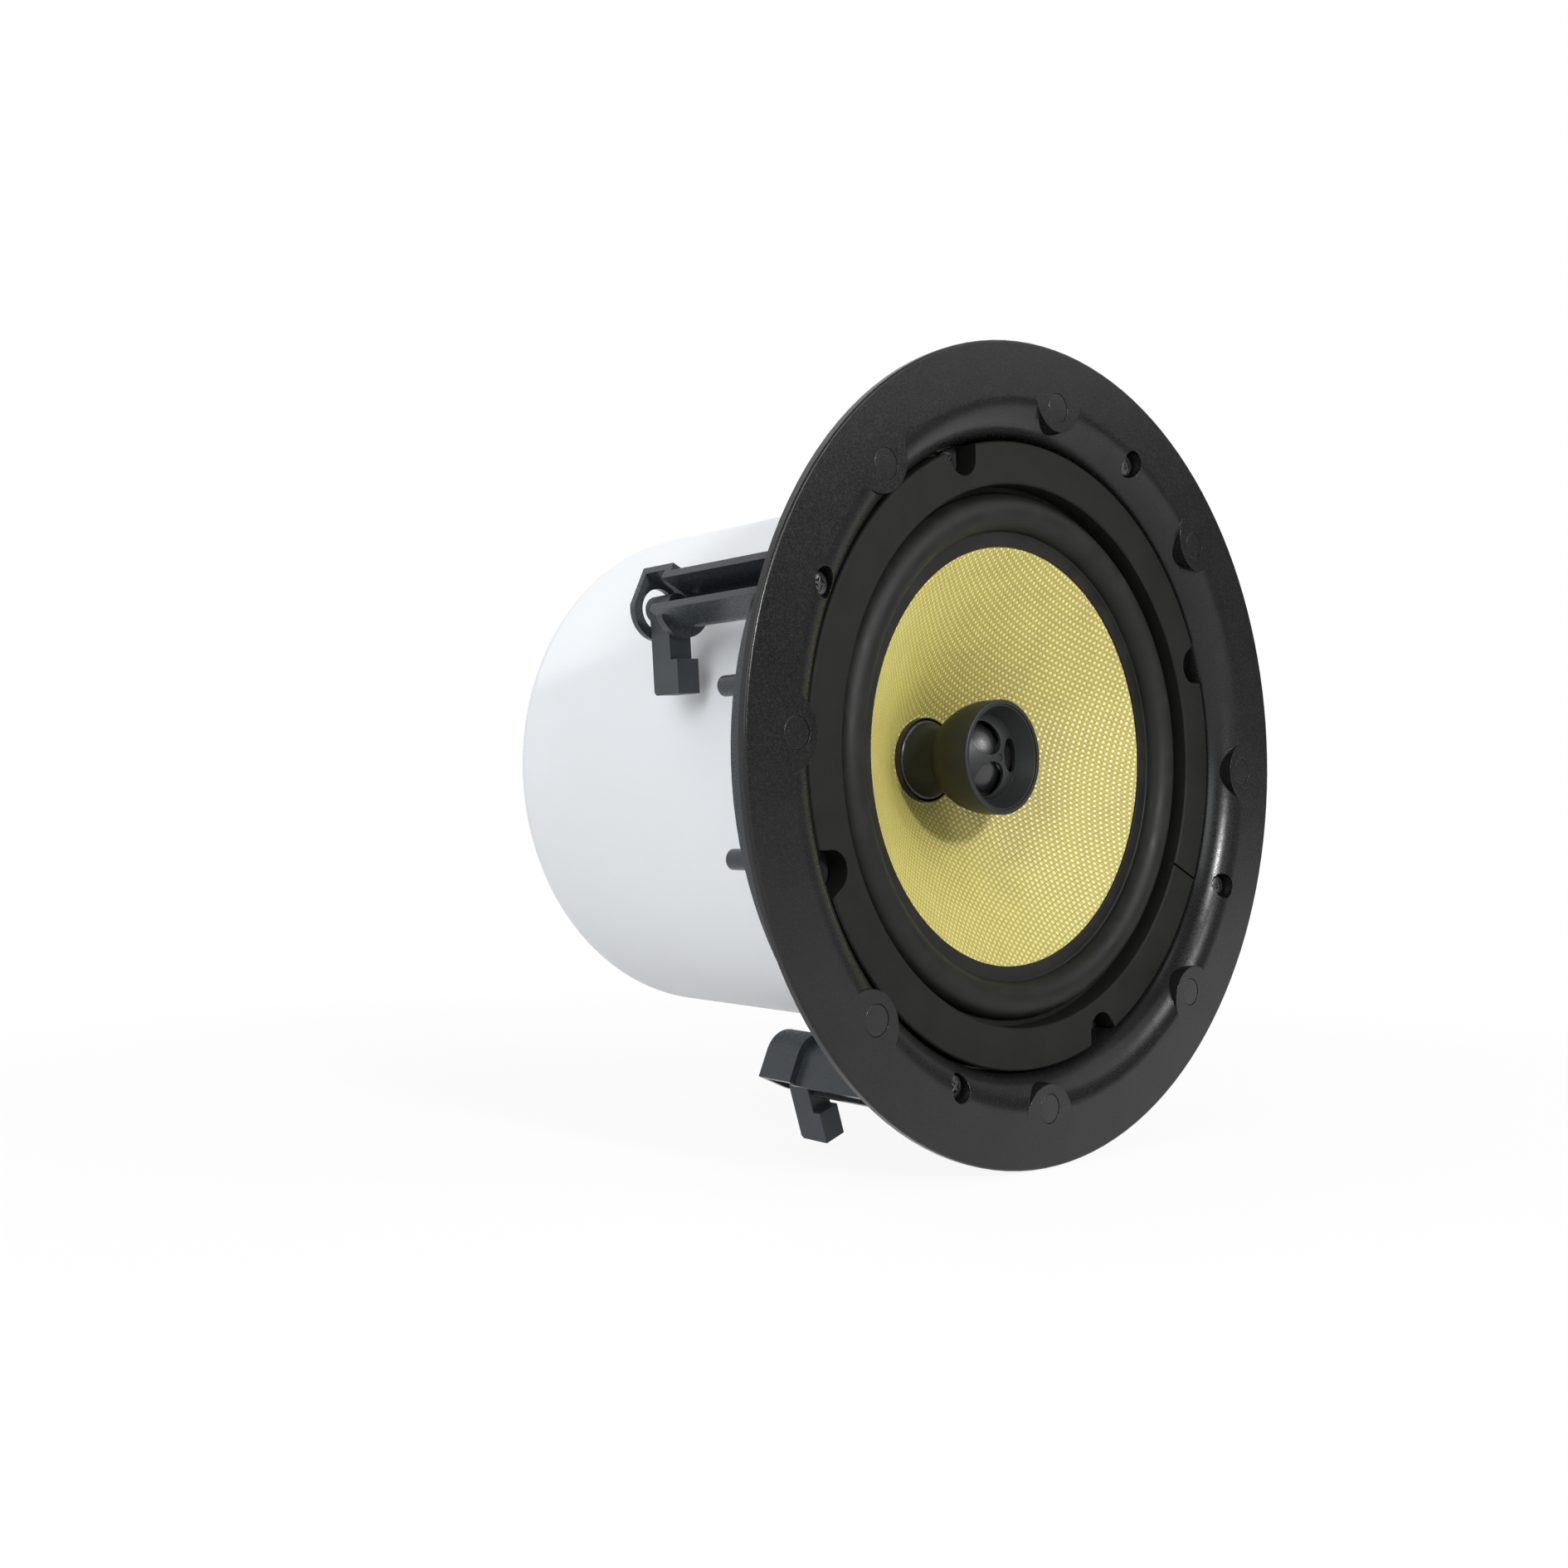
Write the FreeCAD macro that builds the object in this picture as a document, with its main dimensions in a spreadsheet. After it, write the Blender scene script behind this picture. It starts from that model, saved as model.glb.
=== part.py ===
import FreeCAD, Part
import Sketcher
import math
import os
from types import SimpleNamespace

# Ceiling speaker: a round flush speaker with a woven cone, a tweeter pod on a
# post, a pale back can and four swing-out clamp dogs on long screws.
# Millimetres. X right and Z up as seen from the front, Y into the can.
# Every sketch gives depth from the flange's front plane; the bodies are moved
# so that y = 0 is the flange's rear seating face.

SIZES = [
    ("flange_r", 140.0, "flange outer radius"),
    ("flange_t", 3.0, "flange rim thickness"),
    ("rim_round", 1.0, "rounding of the front rim"),
    ("band_w", 18.0, "width of the flat outer band"),
    ("roll_r", 13.2, "radius of the rolled trough wall"),
    ("wall_t", 2.6, "trough wall thickness"),
    ("haunch_w", 2.2, "width of the haunch behind the roll"),
    ("haunch_d", 4.5, "depth of the haunch behind the flange"),
    ("web_t", 0.2, "added thickness of the web at the collar"),
    ("collar_inset", 16.0, "flange edge to the collar's outside"),
    ("collar_t", 3.0, "collar wall thickness"),
    ("collar_len", 22.0, "collar length behind the flange"),
    ("ledge_t", 3.4, "woofer ledge thickness"),
    ("ledge_gap", 2.85, "room between basket and ledge"),
    ("lobe_r", 12.4, "radius of a magnet lobe"),
    ("lobe_inset", 16.0, "flange edge to the lobe's centre"),
    ("lobe_d", 6.5, "lobe depth over the trough"),
    ("magnet_inset", 20.0, "flange edge to the grille magnet's centre"),
    ("magnet_rad", 5.0, "grille magnet radius"),
    ("magnet_t", 2.8, "grille magnet thickness"),
    ("magnet_sink", 0.15, "grille magnet set back"),
    ("clamp_inset", 22.0, "flange edge to the clamp screw's axis"),
    ("arm_w", 9.0, "dog arm width"),
    ("slide_gap", 0.3, "dog clearance in the tower's channel"),
    ("tower_wall", 2.6, "tower rib thickness"),
    ("tower_out", 10.3, "tower rib ends beyond the screw axis"),
    ("tower_len", 67.0, "tower length behind the flange"),
    ("root_in", 4.3, "tower root reaching inwards from the screw axis"),
    ("root_len", 7.0, "tower root length behind the flange"),
    ("root_lap", 3.0, "lap of the tower over its root"),
    ("channel_in", 9.0, "start of the channel behind the flange"),
    ("cap_lip", 3.1, "end cap standing proud of the tower"),
    ("cap_set", 0.5, "end cap flat set back from the cap's circle"),
    ("cap_len", 13.0, "end cap length beyond the tower"),
    ("cap_lap", 3.0, "end cap lap over the tower"),
    ("cap_wall", 2.4, "end cap side wall"),
    ("cap_back", 2.4, "end cap plate"),
    ("cap_hole", 7.0, "radius of the hole in the end cap's plate"),
    ("cap_side", 3.0, "end cap side wall's edge before the screw axis"),
    ("clamp_head_r", 4.0, "clamp screw head radius"),
    ("clamp_head_h", 2.6, "clamp screw head height"),
    ("clamp_head_edge", 1.0, "bevel of the clamp screw head"),
    ("head_gap", 0.75, "room round the clamp screw head"),
    ("head_in", 2.8, "clamp screw head's seat behind the flange"),
    ("clamp_shaft", 2.5, "clamp screw shaft radius"),
    ("clamp_point", 0.8, "bevel of the clamp screw's tip"),
    ("recess_len", 4.4, "length of the screw head's cross recess"),
    ("recess_w", 1.1, "width of the screw head's cross recess"),
    ("recess_d", 1.6, "depth of the screw head's cross recess"),
    ("run_gap", 0.06, "running clearance round a turning part"),
    ("dog_gap", 0.5, "dog end play between tower and cap"),
    ("hub_back", 0.5, "dog hub short of the cap's rear face"),
    ("arm_len", 28.7, "dog arm length from the screw axis"),
    ("arm_edge", 1.0, "bevel of the dog's tip"),
    ("foot_at", 17.3, "start of the dog's foot along the arm"),
    ("foot_step", 3.4, "step of the dog's foot"),
    ("peg_inset", 3.7, "collar outside to the rear peg's centre"),
    ("peg_rad", 3.3, "rear peg radius"),
    ("peg_len", 8.5, "rear peg length beyond the collar"),
    ("peg_root", 6.0, "rear peg root inside the collar"),
    ("ring_gap", 0.7, "room round the woofer ring"),
    ("ring_w", 14.6, "woofer ring width"),
    ("ring_d", 8.0, "depth of the woofer ring's face"),
    ("ring_t", 8.0, "woofer ring thickness"),
    ("ring_edge", 0.6, "bevel of the woofer ring"),
    ("notch_inset", 2.9, "ring edge to the woofer screw's axis"),
    ("notch_r", 6.6, "radius of the ring's screw notches"),
    ("notch_side", 1.2, "start of a notch's flare inside the screw's axis"),
    ("notch_flare", 1.9, "flare of a notch's mouth on each side"),
    ("seam_w", 0.8, "width of the ring's seam"),
    ("seam_d", 1.4, "depth of the ring's seam"),
    ("skin_t", 0.8, "surround thickness"),
    ("sur_lap", 5.0, "surround lap under the ring"),
    ("roll_inset", 2.25, "ring's inside to the surround roll"),
    ("sur_roll", 6.5, "surround roll radius"),
    ("sur_land", 5.15, "surround land inside the roll"),
    ("cone_lap", 4.0, "cone lap under the surround"),
    ("cone_lip", 0.6, "cone edge inside the surround"),
    ("cone_t", 0.8, "cone thickness"),
    ("cone_depth", 43.2, "cone depth from its rim to the neck"),
    ("neck_flare", 1.0, "flare of the cone's neck"),
    ("neck_len", 4.0, "length of the cone's neck on the former"),
    ("neck_blend", 0.1, "added thickness where the cone meets its neck"),
    ("former_r", 15.8, "voice coil former outer radius"),
    ("former_t", 0.4, "voice coil former wall"),
    ("former_rise", 2.0, "former standing out of the neck"),
    ("former_tail", 5.5, "former end behind the top plate"),
    ("coil_t", 0.9, "voice coil winding thickness"),
    ("coil_gap", 0.8, "air gap outside the voice coil"),
    ("coil_lead", 2.5, "voice coil before the top plate"),
    ("coil_tail", 4.5, "voice coil behind the top plate"),
    ("spider_gap", 6.5, "neck front to the spider"),
    ("spider_out", 46.0, "spider outer radius"),
    ("spider_t", 0.6, "spider thickness"),
    ("spider_land", 6.0, "spider's flat outer land"),
    ("wave_in", 3.2, "spider's flat inner land"),
    ("wave_h", 1.3, "height of the spider's waves"),
    ("plate_gap", 9.0, "spider to the top plate"),
    ("plate_t", 6.0, "top plate and yoke thickness"),
    ("sheet_t", 1.5, "basket sheet thickness"),
    ("roll_gap", 1.4, "room between surround roll and basket"),
    ("rim_turn", 2.8, "depth of the basket's turned rim"),
    ("wall_skew", 0.6, "added depth of the basket wall's outside at the rim"),
    ("shelf_skew", 1.2, "added radius of the basket wall's outside at the shelf"),
    ("shelf_lap", 5.5, "basket shelf inside the spider's edge"),
    ("shelf_rim", 4.5, "basket shelf outside the spider's edge"),
    ("basket_bore", 6.0, "room between former and basket floor"),
    ("window_in", 4.0, "basket shelf to the windows"),
    ("window_out", 6.0, "windows short of the basket's rim"),
    ("window_low", 28.0, "window width at the shelf"),
    ("window_high", 54.0, "window width at the rim"),
    ("ferrite_r", 43.0, "woofer magnet radius"),
    ("ferrite_t", 16.0, "woofer magnet thickness"),
    ("ferrite_bore", 5.2, "room between former and woofer magnet"),
    ("plate_inset", 5.0, "top plate edge inside the magnet's"),
    ("yoke_inset", 3.0, "yoke edge inside the magnet's"),
    ("pole_gap", 0.5, "air gap inside the former"),
    ("wscrew_head_r", 3.6, "woofer screw head radius"),
    ("wscrew_head_h", 2.4, "woofer screw head height"),
    ("wscrew_r", 1.9, "woofer screw stem radius"),
    ("wscrew_end", 0.2, "woofer screw end inside the ledge"),
    ("base_gap", 0.6, "room between former and tweeter base"),
    ("base_len", 20.5, "tweeter base length on the pole"),
    ("base_round", 2.0, "rounding of the tweeter base"),
    ("post_r", 5.0, "tweeter post radius"),
    ("post_in", 0.5, "post end inside the pod's floor"),
    ("post_out", 5.5, "post end behind the yoke"),
    ("nut_t", 4.5, "post nut thickness"),
    ("nut_r", 9.5, "post nut corner radius"),
    ("fit_gap", 0.05, "clearance of a pushed-in fit"),
    ("pass_gap", 0.2, "clearance of a screw hole"),
    ("pod_r", 20.4, "tweeter pod radius"),
    ("pod_len", 33.0, "tweeter pod length"),
    ("pod_edge", 0.7, "rounding of the pod's lip"),
    ("pod_lip", 1.0, "pod lip width"),
    ("pod_straight", 14.0, "straight length of the pod"),
    ("cup_shift", 1.27, "centre of the pod's cup beyond the axis"),
    ("pod_foot", 9.0, "radius of the pod's foot"),
    ("pod_floor_t", 8.5, "pod floor thickness"),
    ("pod_room", 11.2, "radius of the pod's floor inside"),
    ("pod_step", 1.3, "step that the tweeter seats on"),
    ("pod_recess", 9.0, "depth of the tweeter's seat in the pod"),
    ("pod_taper", 4.0, "start of the inside taper behind the straight"),
    ("guide_r", 15.2, "radius of the bridge's domed plate"),
    ("guide_t", 1.2, "thickness of the bridge's domed plate"),
    ("guide_set", 1.6, "crown of the domed plate behind the lip"),
    ("crown_r", 24.1, "sphere radius of the domed plate"),
    ("guide_edge", 0.5, "edge of the bridge's flare"),
    ("hole_at", 8.5, "pitch radius of the bridge holes"),
    ("hole_r", 6.2, "radius of the bridge holes"),
    ("dimple_r", 1.3, "radius of the hub's dimple"),
    ("dimple_d", 0.6, "depth of the hub's dimple"),
    ("dome_r", 18.7, "sphere radius of the tweeter dome"),
    ("dome_rise", 4.8, "dome height over its seat"),
    ("dome_edge", 12.5, "radius of the dome's edge"),
    ("dome_t", 0.7, "dome thickness"),
    ("dome_land", 1.4, "dome land short of the pod's wall"),
    ("seat_t", 0.8, "thickness of the dome's land"),
    ("motor_rim", 0.4, "motor plate short of the pod's step"),
    ("motor_plate", 1.8, "motor plate thickness"),
    ("motor_set", 0.2, "motor body inside the bridge's plate"),
    ("motor_taper", 4.5, "start of the motor's taper behind the straight"),
    ("motor_foot", 10.8, "radius of the motor's foot"),
    ("can_clear", 19.7, "clamp screw's axis to the can's outside"),
    ("can_t", 1.2, "back can sheet"),
    ("can_len", 163.0, "back can length behind its seal"),
    ("can_round", 10.0, "rounding of the can's back edge"),
    ("rim_inset", 1.6, "can rim inside the trough wall's outside"),
    ("seal_t", 1.3, "can seal thickness"),
    ("cscrew_out", 6.2, "can's outside to the can screw's axis"),
    ("cscrew_head_r", 3.5, "can screw head radius"),
    ("cscrew_head_h", 2.2, "can screw head height"),
    ("cscrew_r", 1.75, "can screw stem radius"),
    ("cscrew_in", 2.6, "can screw depth in the ledge"),
    ("inlet_r", 11.0, "cable inlet hole radius"),
    ("grommet_bore", 6.5, "cable grommet bore radius"),
    ("grommet_lip", 2.5, "cable grommet lip width"),
    ("grommet_in", 3.0, "cable grommet lip inside the can"),
    ("grommet_out", 2.0, "cable grommet lip outside the can"),
    ("grommet_edge", 1.0, "bevel of the outer lip"),
    ("board_w", 68.0, "crossover board width"),
    ("board_h", 44.0, "crossover board height"),
    ("board_t", 1.6, "crossover board thickness"),
    ("board_at", 48.0, "crossover board below the axis"),
    ("leg_h", 6.4, "crossover leg length"),
    ("leg_r", 3.0, "crossover leg radius"),
    ("leg_inset", 5.0, "crossover leg from the board's edges"),
    ("choke_r", 14.0, "crossover coil radius"),
    ("choke_bore", 6.5, "crossover coil bore radius"),
    ("choke_h", 14.0, "crossover coil height"),
    ("choke_x", 16.0, "crossover coil left of the axis"),
    ("cap_r", 5.5, "capacitor radius"),
    ("cap_h", 20.0, "capacitor height"),
    ("cap_x", 10.0, "capacitors right of the axis"),
    ("cap_pitch", 16.0, "distance between the capacitors"),
    ("block_w", 11.0, "terminal block width"),
    ("block_l", 26.0, "terminal block length"),
    ("block_h", 12.0, "terminal block height"),
    ("block_x", 25.5, "terminal block right of the axis"),
    ("wire_r", 1.8, "terminal hole radius"),
    ("wire_d", 8.0, "terminal hole depth"),
    ("wire_pitch", 6.3, "distance between the terminal holes"),
    ("cut_over", 1.0, "how far a cut starts outside its piece"),
]

doc = FreeCAD.newDocument("ceiling_speaker")
sheet = doc.addObject("Spreadsheet::Sheet", "Sizes")
for row, (alias, value, note) in enumerate(SIZES, start=1):
    sheet.set("A%d" % row, note)
    sheet.set("B%d" % row, str(value))
    sheet.setAlias("B%d" % row, alias)
doc.recompute()


class Size:
    """A number together with the sheet formula that gives it."""

    def __init__(self, value, text):
        self.value = float(value)
        self.text = text

    @staticmethod
    def of(other):
        if isinstance(other, Size):
            return other
        return Size(other, repr(float(other)))

    def __add__(self, other):
        o = Size.of(other)
        return Size(self.value + o.value, "(%s + %s)" % (self.text, o.text))

    def __radd__(self, other):
        return Size.of(other) + self

    def __sub__(self, other):
        o = Size.of(other)
        return Size(self.value - o.value, "(%s - %s)" % (self.text, o.text))

    def __rsub__(self, other):
        return Size.of(other) - self

    def __mul__(self, other):
        o = Size.of(other)
        return Size(self.value * o.value, "(%s * %s)" % (self.text, o.text))

    def __rmul__(self, other):
        return Size.of(other) * self

    def __truediv__(self, other):
        o = Size.of(other)
        return Size(self.value / o.value, "(%s / %s)" % (self.text, o.text))

    def __neg__(self):
        return Size(-self.value, "(0 - %s)" % self.text)


s = SimpleNamespace(**{alias: Size(value, "Sizes." + alias) for alias, value, note in SIZES})
ZERO = Size(0.0, "0.0")
PIECES = []


def cosine(angle):
    return Size(math.cos(math.radians(angle)), "cos(%s deg)" % repr(float(angle)))


def sine(angle):
    return Size(math.sin(math.radians(angle)), "sin(%s deg)" % repr(float(angle)))


def leg(long_side, other):
    """The second leg of a right triangle."""
    square = long_side * long_side - other * other
    return Size(math.sqrt(square.value), "sqrt(%s)" % square.text)


def bind(obj, path, size):
    obj.setExpression(path, Size.of(size).text)


def new_body(label, at_r=ZERO, at_angle=0.0, turn=0.0):
    """A body whose sketches give depth from the flange's front plane."""
    body = doc.addObject("PartDesign::Body", label)
    body.Label = label
    base = FreeCAD.Vector((at_r * cosine(at_angle)).value, -s.flange_t.value,
                          (at_r * sine(at_angle)).value)
    body.Placement = FreeCAD.Placement(base, FreeCAD.Rotation(FreeCAD.Vector(0, -1, 0), turn))
    if at_r.value > 0:
        bind(body, ".Placement.Base.x", at_r * cosine(at_angle))
        bind(body, ".Placement.Base.z", at_r * sine(at_angle))
    bind(body, ".Placement.Base.y", -s.flange_t)
    PIECES.append(body)
    return body


def origin_item(body, role):
    for item in body.Origin.OriginFeatures:
        if item.Role == role:
            return item
    raise RuntimeError("no origin item " + role)


def new_sketch(body, name, plane="XY_Plane", offset=None, turn=0.0):
    """A sketch on a plane of the body, moved along its normal and turned."""
    sk = body.newObject("Sketcher::SketchObject", name)
    sk.AttachmentSupport = [(origin_item(body, plane), "")]
    sk.MapMode = "FlatFace"
    lift = Size.of(0.0 if offset is None else offset)
    sk.AttachmentOffset = FreeCAD.Placement(FreeCAD.Vector(0, 0, lift.value),
                                            FreeCAD.Rotation(FreeCAD.Vector(0, 0, 1), turn))
    if offset is not None:
        bind(sk, "AttachmentOffset.Base.z", lift)
    return sk


def hold(sk, geo, pos, axis, size):
    """Fix one coordinate of a sketch point by a formula."""
    if abs(size.value) < 1e-9:
        line = -2 if axis == "X" else -1
        sk.addConstraint(Sketcher.Constraint("PointOnObject", geo, pos, line))
        return
    index = sk.addConstraint(Sketcher.Constraint("Distance" + axis, -1, 1, geo, pos, size.value))
    name = "g%dp%d%s" % (geo, pos, axis.lower())
    sk.renameConstraint(index, name)
    bind(sk, "Constraints." + name, size)


def outline(sk, items):
    """A closed outline from points (x, y[, fixed axes]) and arcs between them.

    An arc entry is ("arc", centre x, centre y, +1 or -1 for its turn).
    """
    points = []
    arcs = {}
    for item in items:
        if item[0] == "arc":
            arcs[len(points) - 1] = item[1:]
            continue
        fixed = item[2] if len(item) > 2 else "XY"
        points.append((Size.of(item[0]), Size.of(item[1]), fixed))
    count = len(points)
    first = sk.GeometryCount
    ends = []
    for i in range(count):
        a = points[i]
        b = points[(i + 1) % count]
        pa = FreeCAD.Vector(a[0].value, a[1].value, 0)
        pb = FreeCAD.Vector(b[0].value, b[1].value, 0)
        if i in arcs:
            cx, cy, turn = Size.of(arcs[i][0]), Size.of(arcs[i][1]), arcs[i][2]
            centre = FreeCAD.Vector(cx.value, cy.value, 0)
            radius = (pa - centre).Length
            angle_a = math.atan2(pa.y - centre.y, pa.x - centre.x)
            angle_b = math.atan2(pb.y - centre.y, pb.x - centre.x)
            circle = Part.Circle(centre, FreeCAD.Vector(0, 0, 1), radius)
            if turn > 0:
                sk.addGeometry(Part.ArcOfCircle(circle, angle_a, angle_b), False)
                ends.append((1, 2))
            else:
                sk.addGeometry(Part.ArcOfCircle(circle, angle_b, angle_a), False)
                ends.append((2, 1))
        else:
            sk.addGeometry(Part.LineSegment(pa, pb), False)
            ends.append((1, 2))
    for i in range(count):
        j = (i + 1) % count
        sk.addConstraint(Sketcher.Constraint("Coincident", first + i, ends[i][1], first + j, ends[j][0]))
    for i in range(count):
        for axis in points[i][2]:
            hold(sk, first + i, ends[i][0], axis, points[i][0 if axis == "X" else 1])
        if i in arcs:
            hold(sk, first + i, 3, "X", Size.of(arcs[i][0]))
            hold(sk, first + i, 3, "Y", Size.of(arcs[i][1]))


def round_hole(sk, x, y, radius):
    centre = FreeCAD.Vector(x.value, y.value, 0)
    geo = sk.addGeometry(Part.Circle(centre, FreeCAD.Vector(0, 0, 1), radius.value), False)
    hold(sk, geo, 3, "X", x)
    hold(sk, geo, 3, "Y", y)
    index = sk.addConstraint(Sketcher.Constraint("Radius", geo, radius.value))
    name = "g%drad" % geo
    sk.renameConstraint(index, name)
    bind(sk, "Constraints." + name, radius)


def revolve(body, sk):
    turned = body.newObject("PartDesign::Revolution", sk.Name + "_turn")
    turned.Profile = sk
    turned.ReferenceAxis = (sk, ["V_Axis"])
    turned.Angle = 360.0
    sk.Visibility = False
    body.Tip = turned
    return turned


def pad(body, sk, length, reverse=True):
    feature = body.newObject("PartDesign::Pad", sk.Name + "_pad")
    feature.Profile = sk
    feature.Length = length.value
    bind(feature, "Length", length)
    feature.Reversed = reverse
    sk.Visibility = False
    body.Tip = feature
    return feature


def pocket(body, sk, length):
    feature = body.newObject("PartDesign::Pocket", sk.Name + "_cut")
    feature.Profile = sk
    feature.Length = length.value
    bind(feature, "Length", length)
    sk.Visibility = False
    body.Tip = feature
    return feature


def polar(body, features, sk, count):
    doc.recompute()
    pattern = body.newObject("PartDesign::PolarPattern", features[0].Name + "_ring")
    pattern.Originals = features
    pattern.Axis = (sk, ["N_Axis"])
    pattern.Angle = 360.0
    pattern.Occurrences = count
    body.Tip = pattern
    return pattern


def turned_body(label, items):
    body = new_body(label)
    sk = new_sketch(body, label + "_section")
    outline(sk, items)
    revolve(body, sk)
    return body


def rod(name, radius, front, back, x=ZERO, z=ZERO):
    """A cylinder along Y between two depths."""
    obj = doc.addObject("Part::Cylinder", name)
    y = front - s.flange_t
    obj.Radius = radius.value
    obj.Height = (back - front).value
    obj.Placement = FreeCAD.Placement(FreeCAD.Vector(x.value, y.value, z.value),
                                      FreeCAD.Rotation(FreeCAD.Vector(1, 0, 0), -90))
    bind(obj, "Radius", radius)
    bind(obj, "Height", back - front)
    bind(obj, ".Placement.Base.x", x)
    bind(obj, ".Placement.Base.z", z)
    bind(obj, ".Placement.Base.y", y)
    obj.Visibility = False
    return obj


def block(name, x0, x1, front, back, z0, z1):
    """A box between two depths."""
    obj = doc.addObject("Part::Box", name)
    y = front - s.flange_t
    obj.Length = (x1 - x0).value
    obj.Width = (back - front).value
    obj.Height = (z1 - z0).value
    obj.Placement = FreeCAD.Placement(FreeCAD.Vector(x0.value, y.value, z0.value), FreeCAD.Rotation())
    bind(obj, "Length", x1 - x0)
    bind(obj, "Width", back - front)
    bind(obj, "Height", z1 - z0)
    bind(obj, ".Placement.Base.x", x0)
    bind(obj, ".Placement.Base.y", y)
    bind(obj, ".Placement.Base.z", z0)
    obj.Visibility = False
    return obj


def group(label, members):
    obj = doc.addObject("Part::Compound", label)
    obj.Label = label
    obj.Links = members
    PIECES.append(obj)
    return obj


def fused(label, members, keep=True):
    obj = doc.addObject("Part::MultiFuse", label)
    obj.Label = label
    obj.Shapes = members
    if keep:
        PIECES.append(obj)
    return obj


def cut(label, base, tool):
    obj = doc.addObject("Part::Cut", label)
    obj.Label = label
    obj.Base = base
    obj.Tool = tool
    PIECES.append(obj)
    return obj


MAGNET_COUNT = 8
WAVE_COUNT = 5
WINDOW_COUNT = 6
HOLE_COUNT = 3
HOLE_TURN = 8.0
CLAMP_ANGLES = (67.5, 157.5, 247.5, 337.5)
PEG_ANGLES = (82.5, 108.0)
WOOFER_SCREW_ANGLES = (22.5, 112.5, 202.5, 292.5)
CAN_SCREW_ANGLES = (45.0, 135.0, 225.0, 315.0)
SEAM_ANGLE = -23.2
# How far each dog stands swung from straight out, towards its stowed place
DOG_SWING = {67.5: 118.0, 157.5: 118.0, 247.5: 42.0, 337.5: 0.0}

# Radii of the bezel, from the flange's edge inwards
band_r = s.flange_r - s.band_w
wall_r = band_r - s.roll_r
wall_out = wall_r + s.wall_t
collar_r = s.flange_r - s.collar_inset
collar_in = collar_r - s.collar_t
lobe_at = s.flange_r - s.lobe_inset
magnet_at = s.flange_r - s.magnet_inset
clamp_at = s.flange_r - s.clamp_inset
peg_at = collar_r - s.peg_inset
ring_out = wall_r - s.ring_gap
ring_in = ring_out - s.ring_w
notch_at = ring_out - s.notch_inset
sur_out = ring_in + s.sur_lap
roll_out = ring_in - s.roll_inset
sur_mid = roll_out - s.sur_roll
roll_in = sur_mid - s.sur_roll
sur_in = roll_in - s.sur_land
rim_in = roll_out + s.roll_gap
ledge_r = rim_in + s.sheet_t + s.ledge_gap
can_r = clamp_at - s.can_clear
can_in = can_r - s.can_t
can_rim = wall_out - s.rim_inset
canscrew_at = can_r + s.cscrew_out

# Depths, from the flange's front plane backwards
collar_d = s.flange_t + s.collar_len
ring_back = s.ring_d + s.ring_t
basket_front = ring_back + s.skin_t
ledge_d = basket_front + s.sheet_t
ledge_back = ledge_d + s.ledge_t
seal_back = ledge_back + s.seal_t
rim_back = seal_back + s.can_t
can_d = seal_back + s.can_len
can_floor = can_d - s.can_t
neck_d = basket_front + s.cone_depth
spider_d = neck_d + s.spider_gap
spider_back = spider_d + s.spider_t
plate_d = spider_d + s.plate_gap
plate_back = plate_d + s.plate_t
magnet_back = plate_back + s.ferrite_t
yoke_back = magnet_back + s.plate_t
tower_d = s.flange_t + s.tower_len
channel_d = s.flange_t + s.channel_in
cap_d = tower_d + s.cap_len
head_seat = s.flange_t + s.head_in

# Bezel: flange, rolled wall, ledge and collar in one turned section
bezel = new_body("bezel")
sk = new_sketch(bezel, "bezel_section")
outline(sk, [
    (wall_r, ledge_d),
    (wall_r, s.roll_r),
    ("arc", band_r, s.roll_r, 1),
    (band_r, ZERO, "X"),
    (s.flange_r - s.rim_round, ZERO),
    ("arc", s.flange_r - s.rim_round, s.rim_round, 1),
    (s.flange_r, s.rim_round, "Y"),
    (s.flange_r, s.flange_t),
    (collar_r, s.flange_t),
    (collar_r, collar_d),
    (collar_in, collar_d),
    (collar_in, s.flange_t + s.web_t),
    (wall_out + s.haunch_w, s.flange_t + s.haunch_d),
    (wall_out, s.roll_r),
    (wall_out, ledge_back),
    (ledge_r, ledge_back),
    (ledge_r, ledge_d),
])
revolve(bezel, sk)
# Eight flat lobes that carry the grille magnets
sk = new_sketch(bezel, "lobe", "XZ_Plane")
outline(sk, [
    (lobe_at, s.lobe_r),
    ("arc", lobe_at, ZERO, 1),
    (lobe_at, -s.lobe_r, "X"),
])
lobe = pad(bezel, sk, s.lobe_d)
polar(bezel, [lobe], sk, MAGNET_COUNT)
# Four clamp towers, each a channel that a dog can slide in, with an end cap
channel_half = s.arm_w / 2.0 + s.slide_gap
tower_half = channel_half + s.tower_wall
sk = new_sketch(bezel, "tower_root", "XZ_Plane", -s.flange_t, CLAMP_ANGLES[0])
outline(sk, [
    (clamp_at - s.root_in, tower_half),
    (clamp_at - s.root_in, -tower_half),
    (clamp_at + s.tower_out, -tower_half),
    (clamp_at + s.tower_out, tower_half),
])
root = pad(bezel, sk, s.root_len)
root_d = s.flange_t + s.root_len - s.root_lap
sk = new_sketch(bezel, "tower", "XZ_Plane", -root_d, CLAMP_ANGLES[0])
outline(sk, [
    (clamp_at, tower_half),
    ("arc", clamp_at, ZERO, 1),
    (clamp_at, -tower_half, "X"),
    (clamp_at + s.tower_out, -tower_half),
    (clamp_at + s.tower_out, tower_half),
])
tower = pad(bezel, sk, tower_d - root_d)
tower_sketch = sk
cap_half = tower_half + s.cap_lip
cap_out = cap_half - s.cap_set
sk = new_sketch(bezel, "cap", "XZ_Plane", -(tower_d - s.cap_lap), CLAMP_ANGLES[0])
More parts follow.
